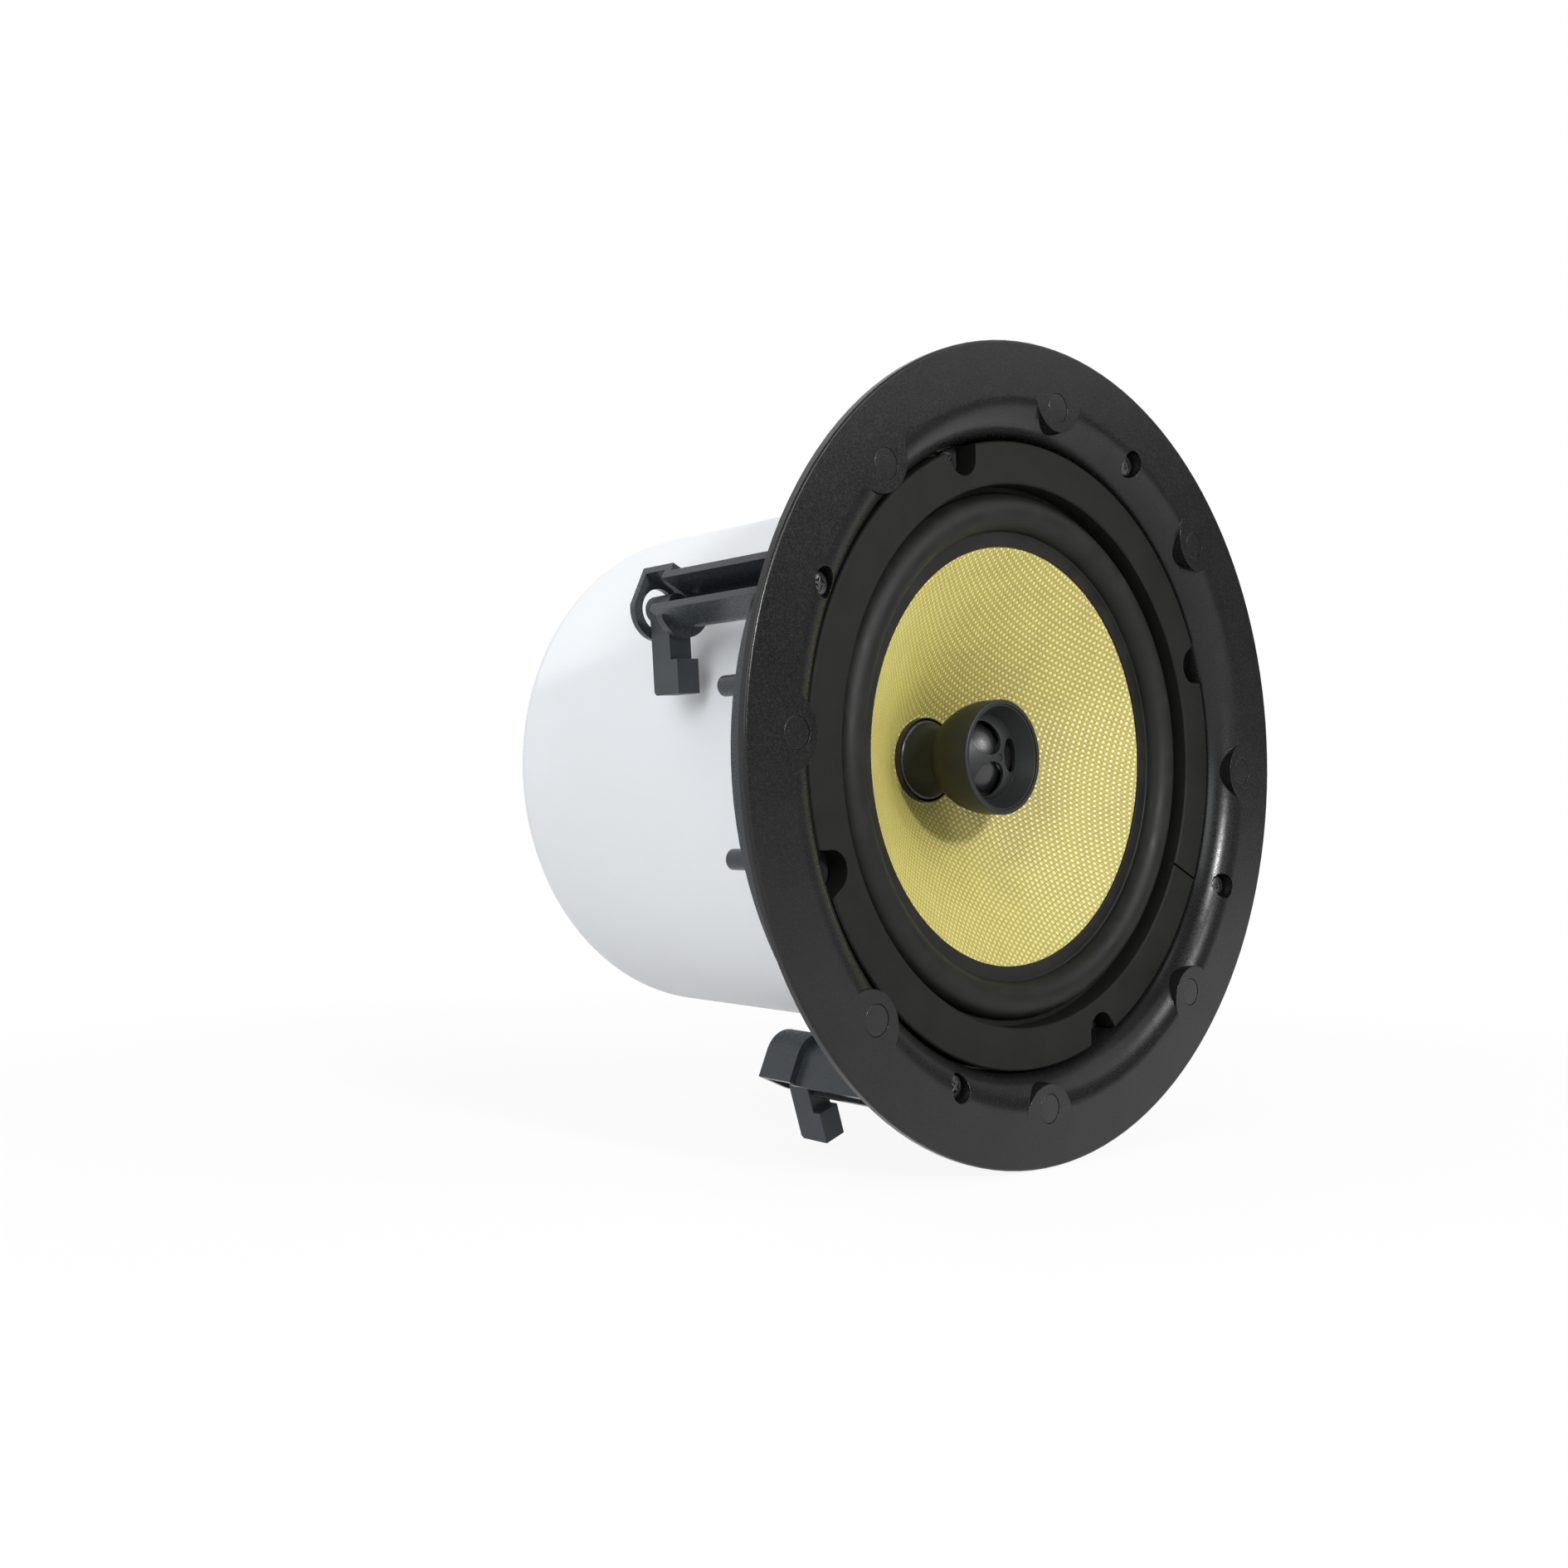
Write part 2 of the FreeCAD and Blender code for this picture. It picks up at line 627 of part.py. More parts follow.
outline(sk, [
    (clamp_at + cap_out, leg(cap_half, cap_out)),
    ("arc", clamp_at, ZERO, 1),
    (clamp_at, -cap_half, "X"),
    (clamp_at + cap_out, -cap_half),
])
cap = pad(bezel, sk, s.cap_len + s.cap_lap)
polar(bezel, [root, tower, cap], tower_sketch, len(CLAMP_ANGLES))
# The channel of the tower, open outwards
sk = new_sketch(bezel, "channel", "XZ_Plane", -channel_d, CLAMP_ANGLES[0])
channel_out = clamp_at + s.tower_out + s.cut_over
outline(sk, [
    (clamp_at, channel_half),
    ("arc", clamp_at, ZERO, 1),
    (clamp_at, -channel_half, "X"),
    (channel_out, -channel_half),
    (channel_out, channel_half),
])
channel_sketch = sk
channel = pocket(bezel, sk, tower_d - channel_d + s.cut_over)
# The cap's room for the dog: open outwards and on the side the arm swings to
room_r = cap_half - s.cap_wall
sk = new_sketch(bezel, "room", "XZ_Plane", -tower_d, CLAMP_ANGLES[0])
room_out = clamp_at + cap_out + s.cut_over
room_in = clamp_at - cap_half - s.cut_over
outline(sk, [
    (clamp_at - leg(room_r, s.cap_side), -s.cap_side, "Y"),
    ("arc", clamp_at, ZERO, 1),
    (clamp_at, -room_r),
    (room_out, -room_r),
    (room_out, cap_half + s.cut_over),
    (room_in, cap_half + s.cut_over),
    (room_in, -s.cap_side),
])
room = pocket(bezel, sk, s.cap_len - s.cap_back)
sk = new_sketch(bezel, "plate_hole", "XZ_Plane", -(cap_d - s.cap_back - s.cut_over), CLAMP_ANGLES[0])
round_hole(sk, clamp_at, ZERO, s.cap_hole)
plate_hole = pocket(bezel, sk, s.cap_back + 2.0 * s.cut_over)
polar(bezel, [channel, room, plate_hole], channel_sketch, len(CLAMP_ANGLES))
# Screw head counterbores and bores
sk = new_sketch(bezel, "head_bore", "XZ_Plane", None, CLAMP_ANGLES[0])
round_hole(sk, clamp_at, ZERO, s.clamp_head_r + s.head_gap)
head_bore = pocket(bezel, sk, head_seat)
bore_sketch = sk
sk = new_sketch(bezel, "shaft_bore", "XZ_Plane", None, CLAMP_ANGLES[0])
round_hole(sk, clamp_at, ZERO, s.clamp_shaft + s.run_gap)
shaft_bore = pocket(bezel, sk, channel_d + s.cut_over)
polar(bezel, [head_bore, shaft_bore], bore_sketch, len(CLAMP_ANGLES))
# Magnet pockets
sk = new_sketch(bezel, "magnet_seat", "XZ_Plane")
round_hole(sk, magnet_at, ZERO, s.magnet_rad + s.fit_gap)
seat = pocket(bezel, sk, s.magnet_t + s.magnet_sink)
polar(bezel, [seat], sk, MAGNET_COUNT)
# Rear pegs on the collar
for number, angle in enumerate(PEG_ANGLES, start=1):
    sk = new_sketch(bezel, "peg_%d" % number, "XZ_Plane", -(collar_d - s.peg_root), angle)
    round_hole(sk, peg_at, ZERO, s.peg_rad)
    peg = pad(bezel, sk, s.peg_len + s.peg_root)
    polar(bezel, [peg], sk, len(CLAMP_ANGLES))
# Pilot holes for the woofer and can screws
sk = new_sketch(bezel, "woofer_pilot", "XZ_Plane", -ledge_d, WOOFER_SCREW_ANGLES[0])
round_hole(sk, notch_at, ZERO, s.wscrew_r + s.fit_gap)
pilot = pocket(bezel, sk, s.ledge_t)
polar(bezel, [pilot], sk, len(WOOFER_SCREW_ANGLES))
sk = new_sketch(bezel, "can_pilot", "XZ_Plane", -(ledge_back - s.cscrew_in), CAN_SCREW_ANGLES[0])
round_hole(sk, canscrew_at, ZERO, s.cscrew_r + s.fit_gap)
pilot = pocket(bezel, sk, s.cscrew_in + s.cut_over)
polar(bezel, [pilot], sk, len(CAN_SCREW_ANGLES))
doc.recompute()

# Grille magnets
group("grille_magnets", [
    rod("grille_magnet_%d" % k, s.magnet_rad, s.magnet_sink, s.magnet_sink + s.magnet_t,
        magnet_at * cosine(360.0 / MAGNET_COUNT * k), magnet_at * sine(360.0 / MAGNET_COUNT * k))
    for k in range(MAGNET_COUNT)
])

# Woofer ring with screw notches and a seam
woofer_ring = new_body("woofer_ring")
sk = new_sketch(woofer_ring, "ring_section")
outline(sk, [
    (ring_in + s.ring_edge, s.ring_d),
    (ring_out - s.ring_edge, s.ring_d),
    (ring_out, s.ring_d + s.ring_edge),
    (ring_out, ring_back),
    (ring_in, ring_back),
    (ring_in, s.ring_d + s.ring_edge),
])
revolve(woofer_ring, sk)
sk = new_sketch(woofer_ring, "notch", "XZ_Plane", -(s.ring_d - s.cut_over), WOOFER_SCREW_ANGLES[0])
notch_y = leg(s.notch_r, s.notch_side)
outline(sk, [
    (notch_at - s.notch_side, notch_y),
    ("arc", notch_at, ZERO, 1),
    (notch_at - s.notch_side, -notch_y, "X"),
    (ring_out + s.cut_over, -(notch_y + s.notch_flare)),
    (ring_out + s.cut_over, notch_y + s.notch_flare),
])
notch = pocket(woofer_ring, sk, s.ring_t + 2.0 * s.cut_over)
polar(woofer_ring, [notch], sk, len(WOOFER_SCREW_ANGLES))
sk = new_sketch(woofer_ring, "seam", "XZ_Plane", -(s.ring_d - s.cut_over), SEAM_ANGLE)
outline(sk, [
    (ring_in - s.cut_over, s.seam_w / 2.0),
    (ring_in - s.cut_over, -s.seam_w / 2.0),
    (ring_out + s.cut_over, -s.seam_w / 2.0),
    (ring_out + s.cut_over, s.seam_w / 2.0),
])
pocket(woofer_ring, sk, s.seam_d + s.cut_over)
doc.recompute()

# Surround: a thin half roll between two flat lands
turned_body("surround", [
    (sur_in, ring_back),
    (roll_in, ring_back),
    ("arc", sur_mid, ring_back, 1),
    (roll_out, ring_back, "Y"),
    (sur_out, ring_back),
    (sur_out, basket_front),
    (roll_out - s.skin_t, basket_front),
    (roll_out - s.skin_t, ring_back),
    ("arc", sur_mid, ring_back, -1),
    (roll_in + s.skin_t, ring_back, "Y"),
    (roll_in + s.skin_t, basket_front),
    (sur_in, basket_front),
])

# Cone, former and coil move together
neck_r = s.former_r + s.cone_t
turned_body("woofer_cone", [
    (sur_in + s.cone_lap, basket_front),
    (sur_in - s.cone_lip, basket_front),
    (s.former_r + s.neck_flare, neck_d),
    (s.former_r, neck_d),
    (s.former_r, neck_d + s.neck_len),
    (neck_r, neck_d + s.neck_len),
    (neck_r + s.neck_flare, neck_d + s.cone_t + s.neck_blend),
    (sur_in, basket_front + s.cone_t),
    (sur_in + s.cone_lap, basket_front + s.cone_t),
])
former_in = s.former_r - s.former_t
turned_body("coil_former", [
    (former_in, neck_d - s.former_rise),
    (s.former_r, neck_d - s.former_rise),
    (s.former_r, plate_back + s.former_tail),
    (former_in, plate_back + s.former_tail),
])
coil_out = s.former_r + s.coil_t
turned_body("voice_coil", [
    (s.former_r, plate_d - s.coil_lead),
    (coil_out, plate_d - s.coil_lead),
    (coil_out, plate_back + s.coil_tail),
    (s.former_r, plate_back + s.coil_tail),
])

# Spider: five waves between the former and the basket
wave_start = s.former_r + s.wave_in
wave_end = s.spider_out - s.spider_land
wave_step = (wave_end - wave_start) / (2.0 * WAVE_COUNT)
upper = [(s.former_r, spider_d), (wave_start, spider_d)]
for k in range(1, 2 * WAVE_COUNT):
    lift = s.wave_h if k % 2 == 0 else -s.wave_h
    upper.append((wave_start + wave_step * float(k), spider_d + lift))
upper.append((wave_end, spider_d))
upper.append((s.spider_out, spider_d))
lower = [(r, d + s.spider_t) for r, d in reversed(upper)]
turned_body("spider", upper + lower)

# Basket: rim, cone-shaped wall with six windows, spider shelf and floor
shelf_in = s.spider_out - s.shelf_lap
shelf_out = s.spider_out + s.shelf_rim
basket = new_body("woofer_basket")
sk = new_sketch(basket, "basket_section")
outline(sk, [
    (rim_in, basket_front),
    (ring_out, basket_front),
    (ring_out, ledge_d),
    (rim_in + s.sheet_t, ledge_d),
    (rim_in + s.sheet_t, ledge_d + s.rim_turn + s.wall_skew),
    (shelf_out + s.shelf_skew, spider_back + s.sheet_t),
    (shelf_in + s.sheet_t, spider_back + s.sheet_t),
    (shelf_in + s.sheet_t, plate_d),
    (s.former_r + s.basket_bore, plate_d),
    (s.former_r + s.basket_bore, plate_d - s.sheet_t),
    (shelf_in, plate_d - s.sheet_t),
    (shelf_in, spider_back),
    (shelf_out, spider_back),
    (rim_in, ledge_d + s.rim_turn),
])
revolve(basket, sk)
sk = new_sketch(basket, "window", "XZ_Plane", -ledge_d)
outline(sk, [
    (shelf_out + s.window_in, s.window_low / 2.0),
    (shelf_out + s.window_in, -s.window_low / 2.0),
    (rim_in - s.window_out, -s.window_high / 2.0),
    (rim_in - s.window_out, s.window_high / 2.0),
])
window = pocket(basket, sk, plate_d - ledge_d)
polar(basket, [window], sk, WINDOW_COUNT)
sk = new_sketch(basket, "rim_hole", "XZ_Plane", -(basket_front - s.cut_over), WOOFER_SCREW_ANGLES[0])
round_hole(sk, notch_at, ZERO, s.wscrew_r + s.pass_gap)
hole = pocket(basket, sk, s.sheet_t + 2.0 * s.cut_over)
polar(basket, [hole], sk, len(WOOFER_SCREW_ANGLES))
doc.recompute()

# Motor of the woofer
turned_body("top_plate", [
    (coil_out + s.coil_gap, plate_d),
    (s.ferrite_r - s.plate_inset, plate_d),
    (s.ferrite_r - s.plate_inset, plate_back),
    (coil_out + s.coil_gap, plate_back),
])
turned_body("woofer_magnet", [
    (s.former_r + s.ferrite_bore, plate_back),
    (s.ferrite_r, plate_back),
    (s.ferrite_r, magnet_back),
    (s.former_r + s.ferrite_bore, magnet_back),
])
post_bore = s.post_r + s.fit_gap
pole_r = former_in - s.pole_gap
turned_body("yoke", [
    (post_bore, plate_d),
    (pole_r, plate_d),
    (pole_r, magnet_back),
    (s.ferrite_r - s.yoke_inset, magnet_back),
    (s.ferrite_r - s.yoke_inset, yoke_back),
    (post_bore, yoke_back),
])

# Woofer screws in the notches of the ring
members = []
for k, angle in enumerate(WOOFER_SCREW_ANGLES, start=1):
    x = notch_at * cosine(angle)
    z = notch_at * sine(angle)
    head_front = basket_front - s.wscrew_head_h
    members.append(rod("woofer_head_%d" % k, s.wscrew_head_r, head_front, basket_front, x, z))
    members.append(rod("woofer_stem_%d" % k, s.wscrew_r, head_front + s.cut_over,
                       ledge_back - s.wscrew_end, x, z))
fused("woofer_screws", members)

# Tweeter: base and post on the pole, pod, bridge, dome and motor
base_r = former_in - s.base_gap
base_d = plate_d - s.base_len
turned_body("tweeter_base", [
    (post_bore, base_d),
    (base_r - s.base_round, base_d),
    ("arc", base_r - s.base_round, base_d + s.base_round, 1),
    (base_r, base_d + s.base_round, "Y"),
    (base_r, plate_d),
    (post_bore, plate_d),
])
pod_d = base_d - s.pod_len
pod_inner = s.pod_r - s.pod_edge - s.pod_lip
pod_turn = pod_d + s.pod_straight
pod_floor = base_d - s.pod_floor_t
bridge_seat = pod_d + s.pod_recess
cup_r = s.pod_r - s.cup_shift
turned_body("tweeter_pod", [
    (pod_inner, pod_d),
    (s.pod_r - s.pod_edge, pod_d),
    ("arc", s.pod_r - s.pod_edge, pod_d + s.pod_edge, 1),
    (s.pod_r, pod_d + s.pod_edge, "Y"),
    (s.pod_r, pod_turn),
    ("arc", s.cup_shift, pod_turn, 1),
    (s.pod_foot, pod_turn + leg(cup_r, s.pod_foot - s.cup_shift), "X"),
    (s.pod_foot, base_d),
    (post_bore, base_d),
    (post_bore, pod_floor),
    (s.pod_room, pod_floor),
    (pod_inner - s.pod_step, pod_turn + s.pod_taper),
    (pod_inner - s.pod_step, bridge_seat),
    (pod_inner, bridge_seat),
])
guide_out = pod_inner - s.fit_gap
guide_in = s.guide_r - s.motor_set
crown_d = pod_d + s.guide_set
bridge = new_body("tweeter_bridge")
sk = new_sketch(bridge, "bridge_section")
outline(sk, [
    (ZERO, crown_d),
    ("arc", ZERO, crown_d + s.crown_r, 1),
    (s.guide_r, crown_d + s.crown_r - leg(s.crown_r, s.guide_r), "X"),
    (guide_out - s.guide_edge, pod_d + s.guide_edge),
    (guide_out, pod_d + s.guide_edge),
    (guide_out, bridge_seat),
    (guide_in, bridge_seat),
    (guide_in, crown_d + s.guide_t + s.crown_r - leg(s.crown_r, guide_in), "X"),
    ("arc", ZERO, crown_d + s.guide_t + s.crown_r, -1),
    (ZERO, crown_d + s.guide_t),
])
revolve(bridge, sk)
sk = new_sketch(bridge, "guide_hole", "XZ_Plane", -(pod_d - s.cut_over), HOLE_TURN)
round_hole(sk, s.hole_at, ZERO, s.hole_r)
hole = pocket(bridge, sk, s.pod_recess + 2.0 * s.cut_over)
polar(bridge, [hole], sk, HOLE_COUNT)
sk = new_sketch(bridge, "dimple", "XZ_Plane", -pod_d)
round_hole(sk, ZERO, ZERO, s.dimple_r)
pocket(bridge, sk, s.guide_set + s.dimple_d)
doc.recompute()
dome_top = bridge_seat - s.dome_rise
dome_mid = dome_top + s.dome_r
dome_in = s.dome_r - s.dome_t
dome_back = bridge_seat + s.seat_t
turned_body("tweeter_dome", [
    (ZERO, dome_top),
    ("arc", ZERO, dome_mid, 1),
    (s.dome_edge, dome_mid - leg(s.dome_r, s.dome_edge), "X"),
    (guide_out - s.dome_land, bridge_seat),
    (guide_out - s.dome_land, dome_back),
    (leg(dome_in, dome_mid - dome_back), dome_back, "Y"),
    ("arc", ZERO, dome_mid, -1),
    (ZERO, dome_top + s.dome_t),
])
motor_r = pod_inner - s.pod_step - s.motor_rim
turned_body("tweeter_motor", [
    (ZERO, dome_back),
    (motor_r, dome_back),
    (motor_r, dome_back + s.motor_plate),
    (guide_in, dome_back + s.motor_plate),
    (guide_in, pod_turn + s.motor_taper),
    (s.motor_foot, pod_turn + s.motor_taper),
    (s.motor_foot, pod_floor),
    (ZERO, pod_floor),
])
post = rod("tweeter_post", s.post_r, pod_floor + s.post_in, yoke_back + s.post_out)
post.Label = "tweeter_post"
PIECES.append(post)
nut = new_body("post_nut")
sk = new_sketch(nut, "nut_outline", "XZ_Plane", -yoke_back)
outline(sk, [(s.nut_r * cosine(60.0 * k), s.nut_r * sine(60.0 * k)) for k in range(6)])
pad(nut, sk, s.nut_t)
sk = new_sketch(nut, "nut_bore", "XZ_Plane", -yoke_back)
round_hole(sk, ZERO, ZERO, post_bore)
pocket(nut, sk, s.nut_t)
doc.recompute()

# Back can, its seal and screws
can = new_body("back_can")
sk = new_sketch(can, "can_section")
round_r = can_r - s.can_round
round_d = can_d - s.can_round
outline(sk, [
    (can_in, seal_back),
    (can_rim, seal_back),
    (can_rim, rim_back),
    (can_r, rim_back),
    (can_r, round_d),
    ("arc", round_r, round_d, 1),
    (round_r, can_d, "X"),
    (s.inlet_r, can_d),
    (s.inlet_r, can_floor),
    (round_r, can_floor),
    ("arc", round_r, round_d, -1),
    (can_in, round_d, "Y"),
])
revolve(can, sk)
sk = new_sketch(can, "can_hole", "XZ_Plane", -(seal_back - s.cut_over), CAN_SCREW_ANGLES[0])
round_hole(sk, canscrew_at, ZERO, s.cscrew_r + s.pass_gap)
hole = pocket(can, sk, s.can_t + 2.0 * s.cut_over)
polar(can, [hole], sk, len(CAN_SCREW_ANGLES))
seal = new_body("can_gasket")
sk = new_sketch(seal, "seal_section")
outline(sk, [
    (can_in, ledge_back),
    (can_rim, ledge_back),
    (can_rim, seal_back),
    (can_in, seal_back),
])
revolve(seal, sk)
sk = new_sketch(seal, "seal_hole", "XZ_Plane", -(ledge_back - s.cut_over), CAN_SCREW_ANGLES[0])
round_hole(sk, canscrew_at, ZERO, s.cscrew_r + s.pass_gap)
hole = pocket(seal, sk, s.seal_t + 2.0 * s.cut_over)
polar(seal, [hole], sk, len(CAN_SCREW_ANGLES))
doc.recompute()
members = []
for k, angle in enumerate(CAN_SCREW_ANGLES, start=1):
    x = canscrew_at * cosine(angle)
    z = canscrew_at * sine(angle)
    members.append(rod("can_head_%d" % k, s.cscrew_head_r, rim_back, rim_back + s.cscrew_head_h, x, z))
    members.append(rod("can_stem_%d" % k, s.cscrew_r, ledge_back - s.cscrew_in,
                       rim_back + s.cscrew_head_h - s.cut_over, x, z))
fused("can_screws", members)

# Clamp screws: cross-head, turning in the tower's bore
head_back = head_seat - s.run_gap
head_front = head_back - s.clamp_head_h
for number, angle in enumerate(CLAMP_ANGLES, start=1):
    screw = new_body("clamp_screw_%d" % number, clamp_at, angle, angle)
    sk = new_sketch(screw, "screw_section_%d" % number)
    outline(sk, [
        (ZERO, head_front),
        (s.clamp_head_r - s.clamp_head_edge, head_front),
        (s.clamp_head_r, head_front + s.clamp_head_edge),
        (s.clamp_head_r, head_back),
        (s.clamp_shaft, head_back),
        (s.clamp_shaft, cap_d - s.clamp_point),
        (s.clamp_shaft - s.clamp_point, cap_d),
        (ZERO, cap_d),
    ])
    revolve(screw, sk)
    half_len = s.recess_len / 2.0
    half_w = s.recess_w / 2.0
    for arm in (0, 1):
        sk = new_sketch(screw, "recess_%d_%d" % (number, arm), "XZ_Plane",
                        -(head_front - s.cut_over), 90.0 * arm)
        outline(sk, [(-half_len, -half_w), (half_len, -half_w), (half_len, half_w), (-half_len, half_w)])
        pocket(screw, sk, s.recess_d + s.cut_over)
    doc.recompute()

# Clamp dogs: a hub on the screw with an arm and a foot towards the flange
dog_front = tower_d + s.dog_gap
dog_back = cap_d - s.cap_back - s.dog_gap
hub_end = cap_d - s.hub_back
foot_front = dog_front - s.foot_step
for number, angle in enumerate(CLAMP_ANGLES, start=1):
    dog = new_body("clamp_dog_%d" % number, clamp_at, angle, angle + DOG_SWING[angle])
    sk = new_sketch(dog, "dog_arm_%d" % number, "XY_Plane", -s.arm_w / 2.0)
    outline(sk, [
        (ZERO, dog_front),
        (s.foot_at, dog_front),
        (s.foot_at, foot_front),
        (s.arm_len, foot_front),
        (s.arm_len, dog_back - s.arm_edge),
        (s.arm_len - s.arm_edge, dog_back),
        (ZERO, dog_back),
    ])
    pad(dog, sk, s.arm_w, False)
    sk = new_sketch(dog, "dog_hub_%d" % number, "XZ_Plane", -dog_front)
    round_hole(sk, ZERO, ZERO, s.arm_w / 2.0)
    pad(dog, sk, hub_end - dog_front)
    sk = new_sketch(dog, "dog_bore_%d" % number, "XZ_Plane", -(dog_front - s.cut_over))
    round_hole(sk, ZERO, ZERO, s.clamp_shaft + s.run_gap)
    pocket(dog, sk, hub_end - dog_front + 2.0 * s.cut_over)
    doc.recompute()

# Cable inlet and crossover inside the can
lip_r = s.inlet_r + s.grommet_lip
turned_body("cable_grommet", [
    (s.grommet_bore, can_floor - s.grommet_in),
    (lip_r, can_floor - s.grommet_in),
    (lip_r, can_floor),
    (s.inlet_r - s.fit_gap, can_floor),
    (s.inlet_r - s.fit_gap, can_d),
    (lip_r, can_d),
    (lip_r - s.grommet_edge, can_d + s.grommet_out),
    (s.grommet_bore, can_d + s.grommet_out),
])
board_back = can_floor - s.leg_h
board_front = board_back - s.board_t
half_w = s.board_w / 2.0
half_h = s.board_h / 2.0
members = [block("board_plate", -half_w, half_w, board_front, board_back,
                 -s.board_at - half_h, half_h - s.board_at)]
leg_x = half_w - s.leg_inset
leg_z = half_h - s.leg_inset
for k, (side, level) in enumerate(((-1, -1), (1, -1), (1, 1), (-1, 1)), start=1):
    members.append(rod("board_leg_%d" % k, s.leg_r, board_front + s.board_t / 2.0, can_floor,
                       leg_x * float(side), leg_z * float(level) - s.board_at))
fused("crossover_board", members)
choke_front = board_front - s.choke_h
choke_outer = rod("choke_outer", s.choke_r, choke_front, board_front, -s.choke_x, -s.board_at)
choke_inner = rod("choke_inner", s.choke_bore, choke_front - s.cut_over, board_front + s.cut_over,
                  -s.choke_x, -s.board_at)
cut("crossover_coil", choke_outer, choke_inner)
group("crossover_caps", [
    rod("capacitor_%d" % k, s.cap_r, board_front - s.cap_h, board_front, s.cap_x,
        s.cap_pitch * shift - s.board_at)
    for k, shift in enumerate((0.5, -0.5), start=1)
])
block_front = board_front - s.block_h
terminal = block("terminal_body", s.block_x - s.block_w / 2.0, s.block_x + s.block_w / 2.0,
                 block_front, board_front, -s.board_at - s.block_l / 2.0, s.block_l / 2.0 - s.board_at)
openings = [
    rod("terminal_hole_%d" % k, s.wire_r, block_front - s.cut_over, block_front + s.wire_d, s.block_x,
        s.wire_pitch * shift - s.board_at)
    for k, shift in enumerate((-1.5, -0.5, 0.5, 1.5), start=1)
]
cut("terminal_block", terminal, fused("terminal_holes", openings, keep=False))

doc.recompute()
for obj in doc.Objects:
    if "Invalid" in obj.State or "Error" in obj.State:
        raise RuntimeError("bad object " + obj.Name + " " + str(obj.State))
os.makedirs("parts", exist_ok=True)
for piece in PIECES:
    shape = piece.Shape
    if shape.isNull() or not shape.isValid() or shape.Volume <= 0:
        raise RuntimeError("bad shape " + piece.Label)
    shape.exportStep("parts/%s.step" % piece.Label)
    print("%-18s solids %d volume %.0f" % (piece.Label, len(shape.Solids), shape.Volume))
print("pieces", len(PIECES))
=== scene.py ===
"""Looks of a round ceiling speaker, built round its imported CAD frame.

Sizes are in millimetres and depths are counted from the flange's front plane,
as on the drawing. Meshes are in metres in the frame's own axes: X right and Z
up as seen from the front, Y into the can.
"""
import logging
import math
from dataclasses import dataclass
from enum import Enum
from typing import Iterable, Optional, Sequence, Union

import bmesh
import bpy
import numpy as np
from mathutils import Matrix, Vector


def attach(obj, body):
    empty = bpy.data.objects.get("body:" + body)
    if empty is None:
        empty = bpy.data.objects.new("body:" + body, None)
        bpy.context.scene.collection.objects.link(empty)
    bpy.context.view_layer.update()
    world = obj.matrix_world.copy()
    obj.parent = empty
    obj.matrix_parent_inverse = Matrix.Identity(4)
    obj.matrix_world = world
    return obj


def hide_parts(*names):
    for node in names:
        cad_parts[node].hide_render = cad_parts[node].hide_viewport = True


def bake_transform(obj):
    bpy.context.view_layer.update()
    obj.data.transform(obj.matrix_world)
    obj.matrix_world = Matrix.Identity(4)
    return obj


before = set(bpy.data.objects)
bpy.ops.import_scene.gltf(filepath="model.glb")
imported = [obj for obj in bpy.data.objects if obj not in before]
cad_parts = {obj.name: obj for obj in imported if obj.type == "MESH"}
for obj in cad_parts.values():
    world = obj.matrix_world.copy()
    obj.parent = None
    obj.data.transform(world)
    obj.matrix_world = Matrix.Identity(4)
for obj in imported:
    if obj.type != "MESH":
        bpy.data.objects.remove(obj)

Mesh = bmesh.types.BMesh
Material = bpy.types.Material
Socket = bpy.types.NodeSocket
Feed = Union[Socket, float, tuple[float, ...]]
Span = tuple[float, float]
Triple = tuple[float, float, float]
Colour = Triple

LOG = logging.getLogger("ceiling_speaker")
MM = 0.001
FLANGE_T = 3.0
AXIS = Vector((0.0, 1.0, 0.0))
MERGE = 2e-6
EDGE_SEGMENTS = 3
FLAT_LIMIT = math.radians(0.2)
SHARP_LIMIT = math.radians(32.0)
CREASE_LIMIT = math.radians(38.0)
WHITE: Colour = (1.0, 1.0, 1.0)
NOISE_BAND: Span = (0.3, 0.7)
WEAR_BAND: Span = (0.53, 0.66)


class Body(Enum):
    """The moving bodies that single pieces ride on."""

    FRAME = "frame"
    CONE = "cone"


def metres(radius: float, depth: float) -> Triple:
    """Turn a radius and a depth in millimetres into a point of the section plane in metres."""
    return (radius * MM, (depth - FLANGE_T) * MM, 0.0)


